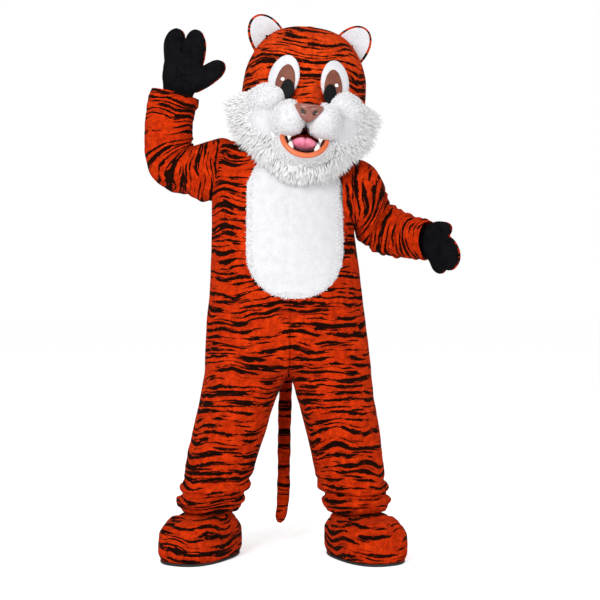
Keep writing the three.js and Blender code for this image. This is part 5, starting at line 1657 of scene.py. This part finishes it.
def make_mitts():
    for word, mitt in MITTS.items():
        turn = math.radians(mitt["turn"])
        first_x = mitt["rods"][0][1][0][0]
        mesh = bmesh.new()
        for flat, rounds in mitt["rods"]:
            bone = [((x - first_x) / math.cos(turn) * MM, z * MM, r * MM) for x, z, r in rounds]
            rod_mesh(mesh, bone, flat)
        bmesh.ops.recalc_face_normals(mesh, faces=mesh.faces)
        data = bpy.data.meshes.new("mitt")
        mesh.to_mesh(data)
        mesh.free()
        whole = bpy.data.objects.new(f"mitt_{word}", data)
        bpy.context.scene.collection.objects.link(whole)
        skin = whole.modifiers.new("skin", "REMESH")
        skin.mode = "VOXEL"
        skin.voxel_size = 0.0042
        soft = whole.modifiers.new("soft", "SMOOTH")
        soft.factor = 0.6
        soft.iterations = 5
        applied(whole)
        points, normals = points_of(whole), normals_of(whole)
        swell = 0.9 * lumps(points * 1000, 55, 7) - 2.6 * np.exp(-((points[:, 1] / 0.0042) ** 2))
        cuff_z = mitt["rods"][0][1][0]
        points = points + normals * (swell * MM)[:, None]
        set_points(whole, points)
        cuff = Vector((0, 0, cuff_z[1] * MM))
        hand = mitt["rods"][0][1]
        step = Vector(((hand[1][0] - hand[0][0]) / math.cos(turn), 0, hand[1][1] - hand[0][1])).normalized()
        matrix = (Matrix.Translation((first_x * MM, mitt["y"] * MM, -SHOULDER_HEIGHT * MM))
                  @ Matrix.Rotation(turn, 4, "Z"))
        for label, sign, material, slot in MITT_SKINS:
            half = bpy.data.objects.new(f"paw_{label}_{word}_plush", whole.data.copy())
            bpy.context.scene.collection.objects.link(half)
            mesh = bmesh.new()
            mesh.from_mesh(half.data)
            everything = mesh.verts[:] + mesh.edges[:] + mesh.faces[:]
            bmesh.ops.bisect_plane(mesh, geom=everything, plane_co=(0, 0, 0), plane_no=(0, -sign, 0),
                                   clear_outer=True)
            everything = mesh.verts[:] + mesh.edges[:] + mesh.faces[:]
            bmesh.ops.bisect_plane(mesh, geom=everything, plane_co=cuff + step * 0.004, plane_no=-step,
                                   clear_outer=True)
            mesh.to_mesh(half.data)
            mesh.free()
            place_now = points_of(half)
            run = place_now[:, 0] * 0.25 + place_now[:, 2] if word == "right" else \
                place_now[:, 0] * 0.5 - place_now[:, 2] * 0.85
            rest = np.stack([place_now[:, 0] * 0.4, place_now[:, 1] * 0.4, run * 1.15], -1)
            note(half, "cloth_place", rest)
            wall = half.modifiers.new("wall", "SOLIDIFY")
            wall.thickness = PADDED_MITT * MM
            wall.offset = -1
            half.data.transform(matrix)
            applied(half)
            half.data.polygons.foreach_set("use_smooth", [True] * len(half.data.polygons))
            finish_piece(half, material, slot, f"paw_{label}_{word}")
        remove(whole)


# ------------------------------------------------------------------ boot feet and tail
def boot_grid(rows, count, sides=112):
    values = np.asarray(rows, float)
    arc = np.concatenate([[0], np.cumsum(np.hypot(np.diff(values[:, 0]), np.diff(values[:, 1])))])
    fine = rows_at(BOOT_COLUMNS, rows, arc, np.linspace(0, arc[-1], count))
    angle = 2 * math.pi * np.arange(sides) / sides
    soft = lambda v: np.sign(v) * np.abs(v) ** 0.8
    ring = np.stack([fine["half_width"][:, None] * soft(np.cos(angle)),
                     fine["back"][:, None] + fine["half_length"][:, None] * soft(np.sin(angle)),
                     np.broadcast_to(fine["height"][:, None], (count, sides))], -1)
    return ring


def toe_dips(ring):
    """Shallow creases between the toes, running up the front of the foot and over its top."""
    front = np.clip((-ring[..., 1] - 90) / 60, 0, 1)
    total = np.zeros(ring.shape[:2])
    for x, depth in ((-38, 5.0), (38, 5.0)):
        total += depth * np.exp(-(((ring[..., 0] - x) / 9) ** 2)) * front
    return total


def make_boots():
    for x, y, turn, word in BOOTS:
        for label, rows, count in (("side", BOOT_WALL, 34), ("upper", BOOT_UPPER, 44)):
            ring = boot_grid(rows, count)
            normal = sheet_normals(ring, True)
            outward = normal * np.where(np.mean(np.sum(normal[..., :2] * ring[..., :2], -1)) < 0, -1, 1)
            height = ring[..., 2]
            swell = 1.8 * lumps(ring, 120, 71 + int(x > 0)) + 0.8 * lumps(ring, 45, 75 + int(x > 0))
            swell -= toe_dips(ring) * (1.0 if label == "side" else 0.6)
            swell -= 2.6 * near(height, 132.2, 4.5) + (1.8 * near(height, 9.3, 5) if label == "side" else 0)
            if label == "upper":
                swell += 2.4 * np.sin(ring[..., 1] / 13.0 + 0.4 * np.sin(ring[..., 0] / 30)) \
                    * near(ring[..., 1], -20, 60) * near(height, 152, 12)
            cloth = ring + outward * swell[..., None]
            inner = cloth - outward * BOOT_WALL_THICKNESS
            inner[..., 2] = np.maximum(inner[..., 2], rows[0][0])
            inner[0, :, 2] = cloth[0, :, 2]
            world = [turned(s, turn) + np.array([x, y, 0]) for s in (cloth, inner)]
            points, faces = wall_mesh(place(world[0]), place(world[1]), True)
            boot = new_object(f"boot_{label}_{word}", points, faces)
            shift = np.array([0.4 if x > 0 else -0.2, 0, 0.11])
            note(boot, "cloth_place", points_of(boot) * np.array([1, 1, 1.0]) + shift)
            finish_piece(boot, TIGER, "tiger_plush", f"foot_{label}_{word}")
        table = [(0, 172, 105, 0), (1.2, 178, 111, 0), (4, 180, 113, 0), (9, 180, 113, 0)]
        ring = boot_grid(table, 10)
        sole = closed_tube(f"boot_sole_{word}", place(turned(ring, turn) + np.array([x, y, 0])))
        finish_piece(sole, RUBBER, "sole_rubber", f"foot_sole_{word}")


def make_tail(trunk):
    values = np.asarray(TAIL_PATH, float)
    steps = np.linalg.norm(np.diff(values[:, :3], axis=0), axis=1)
    arc = np.concatenate([[0], np.cumsum(steps)])
    at = np.linspace(0, arc[-1], 190)
    centre = np.stack([smooth_through(arc, values[:, i], at) for i in range(3)], -1)
    radius = smooth_through(arc, values[:, 3], at)
    radius = radius + 0.9 * np.sin(at / 23) + 0.7 * np.sin(at / 9.5 + 1)
    tangent = np.gradient(centre, axis=0)
    tangent /= np.linalg.norm(tangent, axis=1, keepdims=True)
    across = np.cross(np.array([0.0, 1.0, 0.0]), tangent)
    across[:12] = np.array([1.0, 0, 0])
    across /= np.linalg.norm(across, axis=1, keepdims=True)
    forward = np.cross(tangent, across)
    angle = 2 * math.pi * np.arange(28) / 28
    ring = (centre[:, None] + across[:, None] * (radius[:, None] * np.cos(angle))[..., None]
            + forward[:, None] * (radius[:, None] * np.sin(angle))[..., None])
    tail = closed_tube("tail_plush", place(ring))
    cut_away(tail, trunk)
    note(tail, "cloth_place", points_of(tail) * np.array([0.5, 0.5, 1.0]) + np.array([0.9, 0.3, 0.0]))
    finish_piece(tail, TIGER, "tiger_plush", "tail")


# ------------------------------------------------------------------ room, light and camera
# Soft area lights: name, place, side length in metres, power in watts.
LAMPS = (("key", (-1.9, -3.9, 1.2), 1.8, 140), ("fill", (2.4, -3.4, -0.7), 2.4, 62),
         ("top", (0.2, -0.8, 3.0), 2.0, 26))


def make_stage():
    floor_mesh = bmesh.new()
    bmesh.ops.create_grid(floor_mesh, x_segments=1, y_segments=1, size=30)
    data = bpy.data.meshes.new("floor")
    floor_mesh.to_mesh(data)
    floor_mesh.free()
    floor = bpy.data.objects.new("floor", data)
    bpy.context.scene.collection.objects.link(floor)
    data.transform(Matrix.Translation((0, 0, -SHOULDER_HEIGHT * MM - 0.0005)))
    material, tree, shader = new_material("pale_floor")
    shader.inputs["Base Color"].default_value = (0.93, 0.93, 0.935, 1)
    shader.inputs["Roughness"].default_value = 0.9
    shader.inputs["Specular IOR Level"].default_value = 0.0
    shader.inputs["Emission Color"].default_value = (1, 1, 1, 1)
    seen = add_node(tree, "ShaderNodeLightPath").outputs["Is Camera Ray"]
    tree.links.new(maths(tree, "MULTIPLY_ADD", seen, 0.42, 0.06), shader.inputs["Emission Strength"])
    floor.data.materials.append(material)
    world = bpy.data.worlds.new("studio")
    world.use_nodes = True
    sky = world.node_tree
    sky.nodes["Background"].inputs["Color"].default_value = (1.0, 1.0, 1.0, 1)
    seen = add_node(sky, "ShaderNodeLightPath").outputs["Is Camera Ray"]
    sky.links.new(maths(sky, "MULTIPLY_ADD", seen, 0.45, 0.55), sky.nodes["Background"].inputs["Strength"])
    bpy.context.scene.world = world
    for name, place_at, size, power in LAMPS:
        light = bpy.data.lights.new(name, "AREA")
        light.size = size
        light.energy = power
        lamp = bpy.data.objects.new(name, light)
        bpy.context.scene.collection.objects.link(lamp)
        lamp.location = place_at
        lamp.rotation_euler = (Vector((0, 0, -0.4)) - Vector(place_at)).to_track_quat("-Z", "Y").to_euler()
    camera = bpy.data.objects.new("camera", bpy.data.cameras.new("camera"))
    bpy.context.scene.collection.objects.link(camera)
    camera.data.lens = 82
    camera.data.sensor_width = 36
    camera.location = (0.040, -5.0, -0.470)
    aim = Vector((0.040, 0, -0.537)) - camera.location
    camera.rotation_euler = aim.to_track_quat("-Z", "Y").to_euler()
    bpy.context.scene.camera = camera
    bpy.context.scene.view_settings.view_transform = "Standard"


def joined_tree(objects):
    """One search tree over several pieces."""
    points, faces = [], []
    for obj in objects:
        start = len(points)
        points += [tuple(v.co) for v in obj.data.vertices]
        faces += [tuple(start + i for i in polygon.vertices) for polygon in obj.data.polygons]
    return BVHTree.FromPolygons(points, faces)


make_stage()
TRUNK = trunk_form()
ARM_FORMS = make_sleeves(TRUNK)
make_suit(ARM_FORMS)
FRONTS = [bpy.data.objects["suit_front_left"], bpy.data.objects["suit_front_right"]]
BELLY_PATCH = make_belly(joined_tree(FRONTS))
make_zip()
make_tail(TRUNK)
HEAD_FORM = head_form("head_form", 0.3)
HEAD_TREE = tree_of(HEAD_FORM)
make_crown()
make_eyes(HEAD_TREE)
PUFFS = list(make_muzzle(HEAD_TREE))
make_nose(HEAD_TREE)
make_mouth()
SKIRT_FORM = head_form("head_and_neck_form", 0.3, True)
make_head_fur(tree_of(SKIRT_FORM))
make_pile(PUFFS, BELLY_PATCH)
make_ears(HEAD_FORM)
make_mitts()
make_boots()
for helper in (TRUNK, HEAD_FORM, SKIRT_FORM, LONG_LOCK, SHORT_LOCK, *ARM_FORMS.values()):
    remove(helper)
